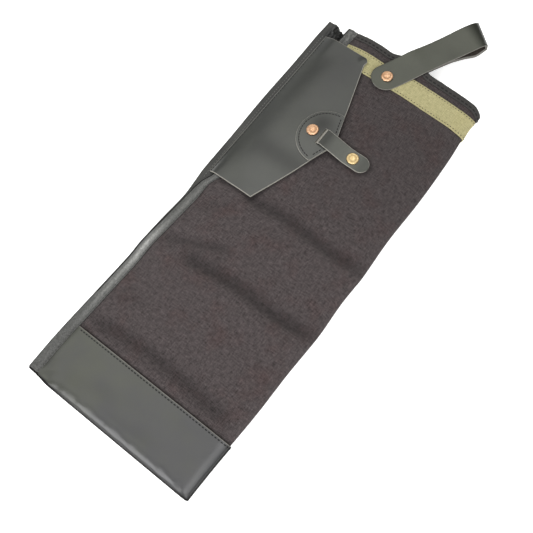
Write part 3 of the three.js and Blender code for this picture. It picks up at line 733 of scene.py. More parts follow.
def new_grid(name, columns, rows):
    """A flat grid, and where each vertex stands along its columns and rows, from 0 to 1."""
    bpy.ops.mesh.primitive_grid_add(x_subdivisions=columns, y_subdivisions=rows, size=1)
    piece = bpy.context.object
    piece.name = piece.data.name = name
    across, along, _ = vertex_places(piece).T + 0.5
    return piece, across, along


def new_object(name, data):
    made = bpy.data.objects.new(name, data)
    bpy.context.scene.collection.objects.link(made)
    return made


def form(piece, points):
    """Draws the vertices to their places, given in millimetres."""
    piece.data.vertices.foreach_set("co", (np.asarray(points) * MM).ravel())
    piece.data.update()


def lay_uv(piece, across, along):
    """Sets the cloth's own flat coordinates, in metres."""
    index = np.empty(len(piece.data.loops), int)
    piece.data.loops.foreach_get("vertex_index", index)
    uv = np.stack([across, along], -1)[index] * MM
    piece.data.uv_layers.active.data.foreach_set("uv", uv.ravel())


def darken(piece, share):
    """Keeps how dark each vertex is made, from 0 to 1: mostly painted shade, with painted highlights left
    lighter on the front binding, tarnish on the fasteners and some plain darkening.
    """
    marks = piece.data.attributes.new("painted_shade_and_wear", "FLOAT", "POINT")
    marks.data.foreach_set("value", np.clip(share, 0, 1))


def apply(piece, kind, **settings):
    modifier = piece.modifiers.new(kind.lower(), kind)
    for key, value in settings.items():
        setattr(modifier, key, value)
    select_only(piece)
    bpy.ops.object.modifier_apply(modifier=modifier.name)


def thicken(piece, thickness, inner=0, rim=0):
    """Gives a formed sheet its wall, inwards from its outer face. inner and rim pick their looks."""
    apply(piece, "SOLIDIFY", thickness=thickness * MM, offset=-1, use_even_offset=False,
          material_offset=inner, material_offset_rim=rim)


def round_edges(piece, width, degrees=50, look=-1):
    """Rounds edges sharper than the angle. look is the rounding's look, or -1 for the faces' own."""
    apply(piece, "BEVEL", width=width * MM, segments=2, limit_method="ANGLE",
          angle_limit=math.radians(degrees), material=look)


def round_rim(piece, width, look):
    """Rounds only the edges between the first look and the given one, such as a sheet's rim."""
    mesh = bmesh.new()
    mesh.from_mesh(piece.data)
    weight = mesh.edges.layers.float.new("bevel_weight_edge")
    for edge in mesh.edges:
        edge[weight] = float({f.material_index for f in edge.link_faces} >= {0, look})
    mesh.to_mesh(piece.data)
    mesh.free()
    apply(piece, "BEVEL", width=width * MM, segments=2, limit_method="WEIGHT", material=look)


def cut(piece, cutter):
    apply(piece, "BOOLEAN", object=cutter, operation="DIFFERENCE", solver="EXACT")
    bpy.data.objects.remove(cutter)


def dress(piece, *materials):
    for material in materials:
        piece.data.materials.append(material)


def finish_piece(piece, slot, *nodes):
    """Smooths a piece and fixes it to the bag, in place of the nodes that it stands for."""
    select_only(piece)
    bpy.ops.object.shade_smooth_by_angle(angle=math.radians(45))
    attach(piece, "root")
    if nodes:
        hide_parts(*nodes)


# Materials


class Shader:
    """A material's node tree, with a short way to add and join nodes."""

    def __init__(self, name):
        self.material = bpy.data.materials.new(name)
        self.material.use_nodes = True
        self.tree = self.material.node_tree
        self.surface = self.tree.nodes["Principled BSDF"]

    def node(self, kind, inputs=(), **settings):
        made = self.tree.nodes.new(kind)
        for key, value in settings.items():
            setattr(made, key, value)
        for key, value in dict(inputs).items():
            self.put(made.inputs[key], value)
        return made

    def put(self, socket, value):
        if isinstance(value, bpy.types.NodeSocket):
            self.tree.links.new(value, socket)
        else:
            socket.default_value = value

    def set(self, **inputs):
        for key, value in inputs.items():
            self.put(self.surface.inputs[key.replace("_", " ")], value)

    def place(self, source):
        return self.node("ShaderNodeTexCoord").outputs[source]

    def math(self, operation, a, b=0.0):
        return self.node("ShaderNodeMath", {0: a, 1: b}, operation=operation).outputs[0]

    def times(self, a, b):
        return self.math("MULTIPLY", a, b)

    def plus(self, a, b):
        return self.math("ADD", a, b)

    def stretch(self, vector, scale):
        return self.node("ShaderNodeMapping", {"Vector": vector, "Scale": scale}).outputs[0]

    def noise(self, vector, scale, detail=3.0, roughness=0.55):
        inputs = {"Vector": vector, "Scale": scale, "Detail": detail, "Roughness": roughness}
        return self.node("ShaderNodeTexNoise", inputs).outputs["Fac"]

    def ramp(self, value, *stops):
        made = self.node("ShaderNodeValToRGB", {"Fac": value})
        elements = made.color_ramp.elements
        while len(elements) < len(stops):
            elements.new(0.5)
        for element, (position, colour) in zip(elements, stops):
            element.position = position
            element.color = (*colour, 1)
        return made.outputs["Color"]

    def span(self, value, low, high):
        inputs = {"Value": value, "To Min": low, "To Max": high}
        return self.node("ShaderNodeMapRange", inputs).outputs[0]

    def mix(self, share, a, b, blend="MIX"):
        made = self.node("ShaderNodeMix", data_type="RGBA", blend_type=blend)
        colours = [s for s in made.inputs if s.type == "RGBA"]
        self.put(made.inputs[0], share)
        for socket, value in zip(colours, (a, b)):
            self.put(socket, value if isinstance(value, bpy.types.NodeSocket) else (*value, 1))
        return made.outputs[2]

    def painted_shade_and_wear(self):
        return self.node("ShaderNodeAttribute", attribute_name="painted_shade_and_wear").outputs["Fac"]

    def darkened(self, colour, share, darkest):
        """The colour, turned towards a darker one by a share of the painted shade and wear marked on the
        vertices.
        """
        return self.mix(self.times(self.painted_shade_and_wear(), share), colour, darkest)

    def bump(self, height, distance, under=None):
        inputs = {"Height": height, "Distance": distance, "Strength": 1.0}
        if under is not None:
            inputs["Normal"] = under
        return self.node("ShaderNodeBump", inputs).outputs[0]


BLACK = (0.0, 0.0, 0.0)
WHITE = (1.0, 1.0, 1.0)


def woven(name, pitch, valley, thread, tint, tint_share, relief):
    """Plain weave on the cloth's own coordinates, with uneven yarn, nap and a slow drift of colour."""
    s = Shader(name)
    uv = s.place("UV")
    apart = s.node("ShaderNodeSeparateXYZ", {"Vector": uv})
    warp = s.math("SINE", s.times(apart.outputs[0], math.pi / pitch))
    weft = s.math("SINE", s.times(apart.outputs[1], math.pi / pitch))
    over = s.math("GREATER_THAN", s.times(warp, weft), 0.0)
    lengthwise = s.times(s.math("ABSOLUTE", warp), over)
    crosswise = s.times(s.math("ABSOLUTE", weft), s.math("SUBTRACT", 1.0, over))
    weave = s.plus(lengthwise, crosswise)
    thick, long = 1.6 * pitch, 7 * pitch
    long_yarn = s.noise(s.stretch(uv, (1 / thick, 1 / long, 1)), 1.0, 2.0)
    cross_yarn = s.noise(s.stretch(uv, (1 / long, 1 / thick, 1)), 1.0, 2.0)
    nap = s.noise(uv, 0.9 / pitch, 3.0, 0.7)
    yarn = s.plus(s.times(s.plus(long_yarn, cross_yarn), 0.3), s.times(nap, 0.4))
    level = s.plus(s.times(weave, 0.25), s.span(yarn, -0.75, 1.6))
    colour = s.ramp(level, (0.2, valley), (1.0, thread))
    drift = s.noise(uv, 34.0, 4.0, 0.6)
    share = s.times(s.ramp(drift, (0.5, BLACK), (0.72, WHITE)), tint_share)
    colour = s.mix(share, colour, tint, "MULTIPLY")
    s.set(Base_Color=s.darkened(colour, 0.7, BLACK), Roughness=0.92)
    s.set(Specular_IOR_Level=0.15, Sheen_Weight=0.05, Sheen_Roughness=0.5)
    s.set(Normal=s.bump(s.plus(weave, s.times(yarn, 2.0)), relief))
    return s.material


def leather(name, cool, warm, roughness, gloss, grain, wrinkle=0.0, dull=0.0, mottle=0.25, lean=(0, 0, 0),
            middle=0.0):
    """Smooth dyed leather: fine pores, a slow drift of colour and of gloss, and soft wrinkles.

    Where painted shade and wear mark it, it can lose a share of its gloss, dull. mottle is the share of fine
    spots in its shade.
    Its colour can also lean from cool to warm along a direction, by the given share for each metre.
    """
    s = Shader(name)
    spot = s.place("Object")
    drift = s.noise(spot, 26.0, 4.0, 0.6)
    fine = s.noise(spot, 900.0, 3.0, 0.6)
    shade = s.plus(s.times(drift, 1 - mottle), s.times(fine, mottle))
    if any(lean):
        along = s.node("ShaderNodeVectorMath", {0: spot, 1: lean}, operation="DOT_PRODUCT")
        shade = s.plus(shade, s.plus(along.outputs["Value"], middle))
    colour = s.ramp(shade, (0.34, cool), (0.66, warm))
    s.set(Base_Color=s.darkened(colour, 0.8, BLACK))
    s.set(Roughness=s.span(s.noise(spot, 70.0, 2.0), roughness - 0.02, roughness + 0.04))
    s.set(Specular_IOR_Level=s.span(s.painted_shade_and_wear(), gloss, gloss * (1 - dull)) if dull else gloss)
    pores = s.noise(spot, 1700.0, 2.0, 0.5)
    normal = s.bump(s.plus(pores, s.times(fine, 0.6)), grain)
    if wrinkle:
        normal = s.bump(s.noise(spot, 420.0, 3.0, 0.6), wrinkle, normal)
    s.set(Normal=normal)
    return s.material


def fibrous(name, dark, light, scale=700.0):
    """Bare leather fibre, as on cut edges and the flesh side."""
    s = Shader(name)
    fibre = s.noise(s.place("Object"), scale, 4.0, 0.65)
    s.set(Base_Color=s.ramp(fibre, (0.3, dark), (0.7, light)), Roughness=0.95)
    s.set(Specular_IOR_Level=0.2)
    s.set(Normal=s.bump(fibre, 0.0002))
    return s.material


def polished(name, dark, light, roughness):
    """Polished fastener metal with fine scratches and a little tarnish."""
    s = Shader(name)
    spot = s.place("Object")
    tarnish = s.noise(spot, 650.0, 4.0, 0.65)
    colour = s.ramp(tarnish, (0.38, dark), (0.62, light))
    s.set(Base_Color=s.darkened(colour, 0.6, [k * 0.3 for k in dark]), Metallic=1.0)
    scratch = s.noise(s.stretch(spot, (300, 2600, 300)), 1.0, 3.0)
    s.set(Roughness=s.span(scratch, roughness - 0.08, roughness + 0.14))
    s.set(Normal=s.bump(scratch, 0.00003))
    return s.material


def twisted_thread(name, dark, light):
    s = Shader(name)
    fibre = s.noise(s.place("Object"), 2500.0, 2.0)
    s.set(Base_Color=s.ramp(fibre, (0.3, dark), (0.7, light)), Roughness=0.75)
    s.set(Specular_IOR_Level=0.3)
    s.set(Normal=s.bump(fibre, 0.0001))
    return s.material


dark_canvas = woven(
    "dark_canvas", pitch=0.00082, valley=(0.009, 0.0072, 0.0073), thread=(0.146, 0.12, 0.122),
    tint=(0.97, 0.79, 0.77), tint_share=0.8, relief=0.0005)
khaki_cotton = woven(
    "khaki_cotton", pitch=0.00072, valley=(0.29, 0.264, 0.129), thread=(0.61, 0.558, 0.311),
    tint=(0.95, 0.92, 0.85), tint_share=0.4, relief=0.0003)
flap_leather = leather(
    "flap_leather", (0.034, 0.035, 0.034), (0.047, 0.049, 0.043),
    roughness=0.28, gloss=0.57, grain=0.00002, dull=0.3)
boot_leather = leather(
    "boot_leather", (0.041, 0.041, 0.043), (0.048, 0.05, 0.04),
    roughness=0.3, gloss=0.5, grain=0.00002, lean=(-2.4, 1.4, 0), middle=0.25)
# A dark, dull copy of the leather that stands in as painted shade
shaded_leather = leather(
    "shaded_leather", (0.009, 0.009, 0.009), (0.018, 0.018, 0.017),
    roughness=0.65, gloss=0.15, grain=0.00006)
strap_leather = leather(
    "strap_leather", (0.035, 0.037, 0.028), (0.047, 0.05, 0.036),
    roughness=0.32, gloss=0.47, grain=0.00003, dull=0.75)
tab_leather = leather(
    "tab_leather", (0.048, 0.05, 0.044), (0.067, 0.07, 0.058),
    roughness=0.34, gloss=0.59, grain=0.00003, dull=0.5)
# Light leather for the front binding's roll, painted dark everywhere but along its painted highlight
roll_leather = leather(
    "roll_leather", (0.16, 0.161, 0.158), (0.42, 0.421, 0.404),
    roughness=0.28, gloss=0.75, grain=0.00015, wrinkle=0.0012, dull=0.45, mottle=0.75)
band_leather = leather(
    "band_leather", (0.015, 0.015, 0.015), (0.037, 0.037, 0.035),
    roughness=0.4, gloss=0.36, grain=0.00006, wrinkle=0.0005, dull=0.7)
mouth_leather = leather(
    "mouth_leather", (0.022, 0.0205, 0.02), (0.039, 0.0365, 0.035),
    roughness=0.6, gloss=0.3, grain=0.00008, wrinkle=0.0003)
cut_edge = fibrous("cut_edge", (0.195, 0.187, 0.168), (0.325, 0.312, 0.282))
sewn_edge = fibrous("sewn_edge", (0.11, 0.107, 0.097), (0.19, 0.183, 0.167))
worn_edge = fibrous("worn_edge", (0.14, 0.136, 0.126), (0.23, 0.223, 0.207))
dyed_edge = fibrous("dyed_edge", (0.033, 0.029, 0.026), (0.068, 0.061, 0.055))
flesh_side = fibrous("flesh_side", (0.03, 0.025, 0.021), (0.064, 0.053, 0.044), scale=500.0)
copper = polished("copper", (0.455, 0.242, 0.133), (0.78, 0.515, 0.34), roughness=0.34)
brass = polished("brass", (0.47, 0.33, 0.15), (0.76, 0.6, 0.35), roughness=0.34)
black_thread = twisted_thread("black_thread", (0.006, 0.006, 0.006), (0.016, 0.015, 0.015))
grey_thread = twisted_thread("grey_thread", (0.035, 0.035, 0.034), (0.062, 0.061, 0.059))
pale_thread = twisted_thread("pale_thread", (0.075, 0.075, 0.071), (0.125, 0.124, 0.117))


# Canvas pouch and stripe


ROUND_STATIONS = np.linspace(0, 4, 801)
ROUND_LENGTHS = run_lengths(shell_point(ROUND_STATIONS, 0.0))


def canvas_pouch():
    piece, s, t = new_grid("canvas_body_cloth", 190, 226)
    u = np.interp(s, CANVAS_COLUMNS, (0, 1, 3, 4))
    tucked = smoothstep(np.minimum(u, 4 - u), *TUCK)
    y = lerp(SEAM_Y + SEAM_TUCK - SEAM_OVERLAP * tucked, mouth_edge(u), t)
    points = shell_point(u, y)
    form(piece, points)
    lay_uv(piece, np.interp(u, ROUND_STATIONS, ROUND_LENGTHS), y)
    x = points[:, 0]
    # Painted shade: in the folds, along the leather edges and the bottom's seam, and darker towards the
    # mouth
    painted_shade_and_wear = FOLD_SHADE * np.clip(fold_depth(x, y) / FULL_FOLD, 0, 1) + edge_shade(x, y)
    painted_shade_and_wear = painted_shade_and_wear + UPPER_SHADE_DARK * smoothstep(y, *UPPER_SHADE_Y)
    darken(piece, np.where(u < 2, painted_shade_and_wear, 0))
    dress(piece, dark_canvas)
    thicken(piece, CANVAS)
    finish_piece(piece, "canvas", "canvas_body")


def stripe_band():
    piece, s, t = new_grid("stripe_band", 150, 12)
    first, last = inside_bindings(BAND_ROOM, STRIPE_FROM)
    u = np.interp(s, BAND_COLUMNS, (first, 1, 3, last))
    y = lerp(STRIPE_FROM, STRIPE_TO, t) - stripe_drop(u)
    form(piece, on_shell(u, y, GAP + STRIPE)[0])
    lay_uv(piece, np.interp(u, ROUND_STATIONS, ROUND_LENGTHS), y)
    dress(piece, khaki_cotton)
    thicken(piece, STRIPE)
    round_edges(piece, STRIPE_EDGE)
    finish_piece(piece, "stripe_cotton", "stripe")


def wrinkles(along, seed, height):
    """Small uneven cross wrinkles along a strip."""
    total = 0
    for k, (length, tall) in enumerate(WRINKLE_WAVES, 1):
        total = total + tall * np.sin(2 * math.pi * along / length + seed * k)
    return height * total


# Leather bottom


def close_end(piece, row):
    """Joins the two halves of an open end, given as its row of vertices from one side to the other."""
    mesh = bmesh.new()
    mesh.from_mesh(piece.data)
    mesh.verts.ensure_lookup_table()
    last = len(row) - 1
    for i in range(last // 2):
        corners = dict.fromkeys((row[last - i], row[last - i - 1], row[i + 1], row[i]))
        mesh.faces.new([mesh.verts[k] for k in corners])
    mesh.to_mesh(piece.data)
    mesh.free()


def bottom_pocket():
    piece, s, t = new_grid("leather_bottom_pocket", 132, BOTTOM_ROWS)
    down = 1 - t
    u = np.interp(s, BOTTOM_COLUMNS, (0, 1, 2, 3, 4))
    from_edge = np.minimum(u, 4 - u)
    flat = np.interp(down, (0, 1 / BOTTOM_ROWS, BOTTOM_FLAT), (0, SEAM_ROW, 1))
    turn = np.clip((down - BOTTOM_FLAT) / (1 - BOTTOM_FLAT), 0, 1) * END_TURN
    roll = lerp(END_FRONT, END_BACK, np.clip(u - 1, 0, 2) / 2)
    y = lerp(SEAM_Y, BOTTOM_Y + BOTTOM_LIFT + roll, flat)
    by_corner = fade(from_edge, 0, CORNER_REACH)
    y = y + CORNER_RADIUS * by_corner * smoothstep(down, *CORNER_DOWN)
    x, at_y, _ = shell_point(u, y, turn).T
    stand = BOTTOM_LIFT * smoothstep(from_edge, *STAND_OFF)
    along_turn = bell(turn, *DENT_TURN) * (u < 2)
    dents = wrinkles(x * DENT_SPREAD, DENT_SEED, DENT_HEIGHT) * along_turn
    crease = CREASE_HEIGHT * bell(away_from(x, at_y, CORNER_CREASE), 0, CREASE_WIDTH) * (u < 1)
    form(piece, on_shell(u, y, stand + dents + crease, turn)[0])
    # Painted shade on the rolled end, along the rim of the right fold and in a spot by the left corner
    folded_side = smoothstep(u, *FOLD_DARKENS) * fade(u, *FOLD_CLEARS)
    corner_shade = CORNER_SHADE_DARK * bell_round(x, at_y, CORNER_SHADE_AT, CORNER_SHADE_WIDTH) * (u < 1)
    darken(piece, np.maximum(np.maximum(smoothstep(turn, *END_DARKENS), folded_side), corner_shade))
    end = np.flatnonzero(down > 1 - 1e-6)
    close_end(piece, end[np.argsort(s[end])])
    dress(piece, boot_leather, sewn_edge, shaded_leather)
    thicken(piece, BOTTOM_LEATHER, rim=1)
    round_rim(piece, PARED, 1)
    painted_shade_and_wear = [mark.value for mark in piece.data.attributes["painted_shade_and_wear"].data]
    # Faces in the deepest painted shade take the shaded leather
    for face in piece.data.polygons:
        if min(painted_shade_and_wear[k] for k in face.vertices) > FOLDED_DARK:
            face.material_index = 2
        elif face.center.y > (SEAM_Y - SEWN_RIM) * MM:
            face.material_index = 1
    finish_piece(piece, "leather", "leather_bottom")


# Bindings folded over the canvas edges


def folded_section(share, width):
    """Way round a folded strip: distance in from the edge, and the angle turned round it."""
    d = np.interp(share, FOLDED_COLUMNS, (width, 0, 0, width))
    angle = np.interp(share, FOLDED_COLUMNS, (math.pi, math.pi, 0, 0))
    return d, angle


def folded_strip(point, normal, out, angle, puff):
    """Outer face of a strip round a canvas edge, standing off by puff."""
    middle = point - normal * CANVAS / 2
    way = normal * np.cos(angle)[:, None] + out * np.sin(angle)[:, None]
    return middle + way * (EDGE_WRAP + puff)[:, None]


def round_corner(formed, d, y):
    """Draws in the outer edge of a binding at its lower end, to a round corner."""
    short = np.clip(1 - (y - BINDING_BOTTOM) / CORNER_RADIUS, 0, 1)
    inset = CORNER_RADIUS * (1 - np.sqrt(1 - short**2))
    formed[:, 0] += inset * np.clip(1 - d / FRONT_BINDING_WIDTH, 0, 1)
    return formed


def front_narrowing(y):
    """Share of its width that the front binding keeps: it narrows where it goes under the flap."""
    return 1 - ROLL_NARROWS * bell(y, *ROLL_NARROW_Y)


def roll_height(d, y):
    """How far the front binding stands up as a roll, at d in from its edge."""
    filled = lerp(ROLL_LOW[0], 1, smoothstep(y, *ROLL_FILLS))
    flattened = lerp(1, ROLL_LOW[1], smoothstep(y, *ROLL_FLATTENS))
    hump = np.sin(math.pi * np.clip(d / ROLL_WIDTH, 0, 1)) ** ROLL_POWER
    return ROLL_HEIGHT * hump * filled * flattened


def top_folds(d, y):
    """Uneven folds at the front binding's upper end, from -1 to 1."""
    bend = TOP_BEND_HEIGHT * np.sin(TOP_BEND[0] * d + TOP_BEND[1] * y)
    return np.sin(TOP_FOLD[0] * d + TOP_FOLD[1] * y + bend) * smoothstep(y, *TOP_CRUMPLED)


def front_binding():
    piece, s, t = new_grid("front_binding_roll", 40, 250)
    y = lerp(BINDING_BOTTOM, FRONT_BINDING_TOP, t)
    d, angle = folded_section(s, FRONT_BINDING_WIDTH)
    point, normal, across, _ = shell_frame(front_share(d * front_narrowing(y), y), y)
    on_top = np.cos(angle) > ON_TOP
    folds = top_folds(d, y)
    crumple = wrinkles(y + FRONT_WRINKLE_SLANT * d, *FRONT_WRINKLES) + TOP_CRUMPLE * folds
    crumple = crumple * smoothstep(d, 0, WRINKLE_FADE) * smoothstep(FRONT_BINDING_WIDTH - d, 0, WRINKLE_FADE)
    puff = np.where(on_top, roll_height(d, y) + crumple, 0)
    form(piece, round_corner(folded_strip(point, normal, -across, angle, puff), d, y))
    # Painted highlight along the roll's crest and on the tops of its crumpled folds; the rest of the roll is
    # painted dark
    crest_highlight = bell(d, *ROLL_CREST) * np.interp(y, ROLL_HIGHLIGHT_Y, ROLL_HIGHLIGHT)
    crest_highlight = crest_highlight + TOP_HIGHLIGHT * np.maximum(folds, 0)
    darken(piece, 1 - crest_highlight * on_top)
    dress(piece, roll_leather, shaded_leather, band_leather)
    thicken(piece, BINDING)
    round_edges(piece, BINDING_EDGE)
    # Painted shade: the lower end takes the shaded leather and the outer turn the dark band leather
    for face in piece.data.polygons:
        x, y, _ = face.center / MM
        if y < BINDING_BOTTOM + DARK_END:
            face.material_index = 1
        elif x < outline("front", y) + lerp(*DARK_TURN, smoothstep(y, *DARK_TURN_Y)):
            face.material_index = 2
    finish_piece(piece, "binding_leather", "front_binding")


def corner_folds(d, y):
    """Crumpled leather turned in at the open top corner of the back panel."""
    bunch = CORNER_BUNCH
    for tall, inwards, along, phase in CORNER_WAVES:
        bunch = bunch + tall * np.sin(d * inwards + y * along + phase)
    return bunch * smoothstep(y, *CORNER_BUNCH_Y) * smoothstep(d, *CORNER_BUNCH_IN)


def corner_dark(d, y):
    """Painted shade in the crumpled corner, most of all in its hollows and far in."""
    bend = CORNER_HOLLOW_BEND[0] * np.sin(y * CORNER_HOLLOW_BEND[1])
    hollow = 0.5 - 0.5 * np.sin(d * CORNER_HOLLOW[0] + y * CORNER_HOLLOW[1] + bend)
    dark = np.maximum(lerp(*CORNER_DARK, hollow), smoothstep(d, *CORNER_DARKEST_IN))
    return dark * smoothstep(y, *CORNER_FLARE_Y) * smoothstep(d, *CORNER_DARK_IN)


def back_binding():
    piece, s, t = new_grid("back_binding_band", 44, 240)
    y = lerp(BINDING_BOTTOM, mouth_edge(4.0) + BACK_BINDING_PAST, t)
    flare = CORNER_FLARE * smoothstep(y, *CORNER_FLARE_Y) * (s > 0.5)
    d, angle = folded_section(1 - s, BACK_BINDING_WIDTH)
    d = d * (1 + flare / BACK_BINDING_WIDTH)
    shell_y = np.minimum(y, STRAIGHT_FROM)
    point, normal, across, _ = shell_frame(4 - back_share(d, shell_y), shell_y)
    point[:, 1] += y - shell_y
    on_top = np.cos(angle) < -ON_TOP
    crumple = wrinkles(y + d, *BACK_WRINKLES) * smoothstep(d, 0, WRINKLE_FADE) + corner_folds(d, y)
    formed = folded_strip(point, normal, across, angle, np.where(on_top, crumple, 0))
    drawn = CORNER_DRAWN * np.maximum(d - CORNER_DRAWN_FROM, 0) * smoothstep(y, *CORNER_DRAWN_Y)
    formed[:, 1] -= drawn * on_top
    form(piece, round_corner(formed, d, y))
    # Painted shade in the crumpled corner
    darken(piece, corner_dark(d, y) * on_top)
    dress(piece, band_leather)
    thicken(piece, BINDING)
    round_edges(piece, BINDING_EDGE)
    finish_piece(piece, "binding_leather", "back_binding")


def mouth_binding():
    piece, s, t = new_grid("mouth_binding_band", 170, 26)
    first, last = inside_bindings(BAND_ROOM, MOUTH_Y)
    u = np.interp(s, BAND_COLUMNS, (first, 1, 3, last))
    d, angle = folded_section(1 - t, MOUTH_BINDING_WIDTH)
    point, normal, _, mouth = shell_frame(u, mouth_edge(u) - d)
    outside = np.cos(angle) > ON_TOP
    roll = MOUTH_ROLL * bell(d, *MOUTH_ROLL_AT)
    crumple = wrinkles(u * MOUTH_WRINKLE_SPREAD, *MOUTH_WRINKLES)
    puff = np.where(outside, roll + crumple, 0) * fade(u, 2, 3)
    form(piece, folded_strip(point, normal, mouth, angle, puff))
    dress(piece, mouth_leather)
    thicken(piece, BINDING)
    round_edges(piece, BINDING_EDGE)
    finish_piece(piece, "binding_leather", "mouth_binding")


# Flap, patch and tab


def slot_cutter():
    """A box that cuts the tab's slot through the flap and its patch."""
    bpy.ops.mesh.primitive_cube_add(size=1)
    box = bpy.context.object
    height, depth = SLOT_CUT
    size = Vector((SLOT[1] - SLOT[0], 2 * (TAB_HALF_WIDTH + SLOT_ROOM), depth)) * MM
    centre = Vector(((SLOT[0] + SLOT[1]) / 2, TAB_Y, height)) * MM
    box.data.transform(Matrix.Translation(centre) @ Matrix.Diagonal((*size, 1)))
    return box


def mark_slot_walls(piece, look):
    """Gives the cut walls of the tab's slot the look of a cut edge."""
    for face in piece.data.polygons:
        x, y, _ = face.center / MM
        across = SLOT[0] - SLOT_NEAR < x < SLOT[1] + SLOT_NEAR
        along = abs(y - TAB_Y) < TAB_HALF_WIDTH + SLOT_ROOM + SLOT_NEAR
        if across and along and abs(face.normal.z) < SLOT_WALL:
            face.material_index = look


def flap_top(x, y, level):
    """Height of a level over the flap's underside, with its free corners turned up a little."""
    upper = TURNED_UP[0] * bell_round(x, y, TURNED_CORNER, TURNED_UP[1])
    lower = LOW_CORNER_UP[0] * bell_round(x, y, (FLAP_CORNER_X, FLAP_FROM), LOW_CORNER_UP[1])
    return flap_under(x, y) + level + upper + lower


def flap_darkness(x, y):
    """How dark the flap is: painted shade along its sewn edge and in a soft bend, and darker towards its
    upper end.
    """
    upper = smoothstep(y, *FLAP_SEAM_SHADE_Y)
    from_seam = (x - FLAP_LEFT) / lerp(*FLAP_SEAM_SHADE_REACH, upper)
    seam_shade = lerp(*FLAP_SEAM_SHADE, upper) * fade(from_seam, FLAP_SEAM_SHADE_FROM, 1)
    upper_dark = FLAP_UPPER_DARK * smoothstep(y, *FLAP_UPPER_DARK_Y) * smoothstep(x - FLAP_LEFT, *FLAP_UPPER_DARK_X)
    bend = FLAP_BEND_SHADE * bell(y, *FLAP_BEND) * smoothstep(x, *FLAP_BEND_X)
    return np.maximum(seam_shade, upper_dark + bend)


def flap_sheet():
    piece, s, t = new_grid("flap_leather_sheet", 64, 150)
    y = np.interp(t, (0, 0.5, 1), (FLAP_FROM, FLAP_MIDDLE, FLAP_TO))
    x = lerp(FLAP_LEFT, flap_right(y), s)
    y = y + lerp(*FLAP_SLANT_LOW, s) * np.clip(1 - 2 * t, 0, 1)
    y = y + lerp(*FLAP_SLANT_HIGH, s) * np.clip(2 * t - 1, 0, 1)
    x = x + EAR[0] * bell(y, TURNED_CORNER[1], EAR[1]) * smoothstep(s, EAR_FROM, 1)
    form(piece, np.stack([x, y, flap_top(x, y, FLAP)], -1))
    # Painted shade along the sewn edge and in a soft bend, and darker towards the upper end
    darken(piece, flap_darkness(x, y))
    dress(piece, flap_leather, flesh_side, cut_edge, worn_edge)
    thicken(piece, FLAP, inner=1, rim=2)
    round_edges(piece, PARED, CUT_EDGE_ANGLE, look=2)
    for face in piece.data.polygons:
        if face.material_index == 2 and face.center.x < (FLAP_LEFT + SEWN_EDGE) * MM:
            face.material_index = 3
    cut(piece, slot_cutter())
    mark_slot_walls(piece, 2)
    finish_piece(piece, "leather", "flap")


def patch_reach(angle):
    """Distance from the patch's centre to its rim: a circle cut off by the flap's two slanting edges."""
    reach = np.full_like(angle, PATCH_RADIUS)
    for end in (FLAP_FROM, FLAP_TO):
        along = np.array((FLAP_CORNER_X - FLAP_TIP_X, end - FLAP_MIDDLE))
        out = np.array((abs(along[1]), -along[0] * np.sign(along[1]))) / np.hypot(*along)
        room = np.dot(np.subtract((FLAP_TIP_X, FLAP_MIDDLE), PATCH_CENTRE), out)
        facing = np.cos(angle) * out[0] + np.sin(angle) * out[1]
        reach = np.minimum(reach, np.where(facing > 0.01, room / np.maximum(facing, 0.01), PATCH_RADIUS))
    return reach


def flap_patch():
    piece, s, t = new_grid("flap_patch_disc", 144, 24)
    angle = s * 2 * math.pi
    away = patch_reach(angle) * t
    x, y = PATCH_CENTRE[0] + away * np.cos(angle), PATCH_CENTRE[1] + away * np.sin(angle)
    form(piece, np.stack([x, y, flap_top(x, y, PATCH_TOP)], -1))
    # Painted shade on the patch beside the rivet
    darken(piece, PATCH_DARK * bell_round(x, y, PATCH_SHADE_AT, PATCH_SHADE_WIDTH))
    bpy.ops.object.mode_set(mode="EDIT")
    bpy.ops.mesh.select_all(action="SELECT")
    bpy.ops.mesh.remove_doubles(threshold=1e-6)
    bpy.ops.mesh.normals_make_consistent(inside=False)
    bpy.ops.object.mode_set(mode="OBJECT")
    if piece.data.polygons[0].normal.z < 0:
        piece.data.flip_normals()
    dress(piece, flap_leather, flesh_side, cut_edge)
    thicken(piece, PATCH, inner=1, rim=2)
    round_edges(piece, PARED, CUT_EDGE_ANGLE, look=2)
    cut(piece, slot_cutter())
    mark_slot_walls(piece, 2)
    finish_piece(piece, "leather", "flap_patch")


def smooth_way(points, count):
    """Points evenly along a smooth curve through the given ones, and the curve's length."""
    points = np.asarray(points, float)
    knots = run_lengths(points, 0.5)
    tangents = np.gradient(points, knots, axis=0)
    dense = np.linspace(0, knots[-1], 1600)
    i = np.clip(np.searchsorted(knots, dense) - 1, 0, len(knots) - 2)
    span = (knots[i + 1] - knots[i])[:, None]
    t = (dense[:, None] - knots[i][:, None]) / span
    curve = (
        points[i] * (1 + 2 * t) * (1 - t) ** 2
        + points[i + 1] * t * t * (3 - 2 * t)
        + tangents[i] * span * t * (1 - t) ** 2
        + tangents[i + 1] * span * t * t * (t - 1)
    )
    lengths = run_lengths(curve)
    return between(np.linspace(0, lengths[-1], count), lengths, curve), lengths[-1]


def round_end(radius, from_end):
    """Half width of a strip near its round end."""
    inside = np.clip(1 - from_end / radius, 0, 0.995)
    return radius * np.sqrt(1 - inside**2)


def closer_at_ends(t, both):
    """Spreads rows so that they are close together at a strip's round far end, or at both of its ends."""
    if both:
        return 0.5 - 0.5 * np.sign(0.5 - t) * np.abs(1 - 2 * t) ** 0.6
    return 1 - (1 - t) ** 1.5


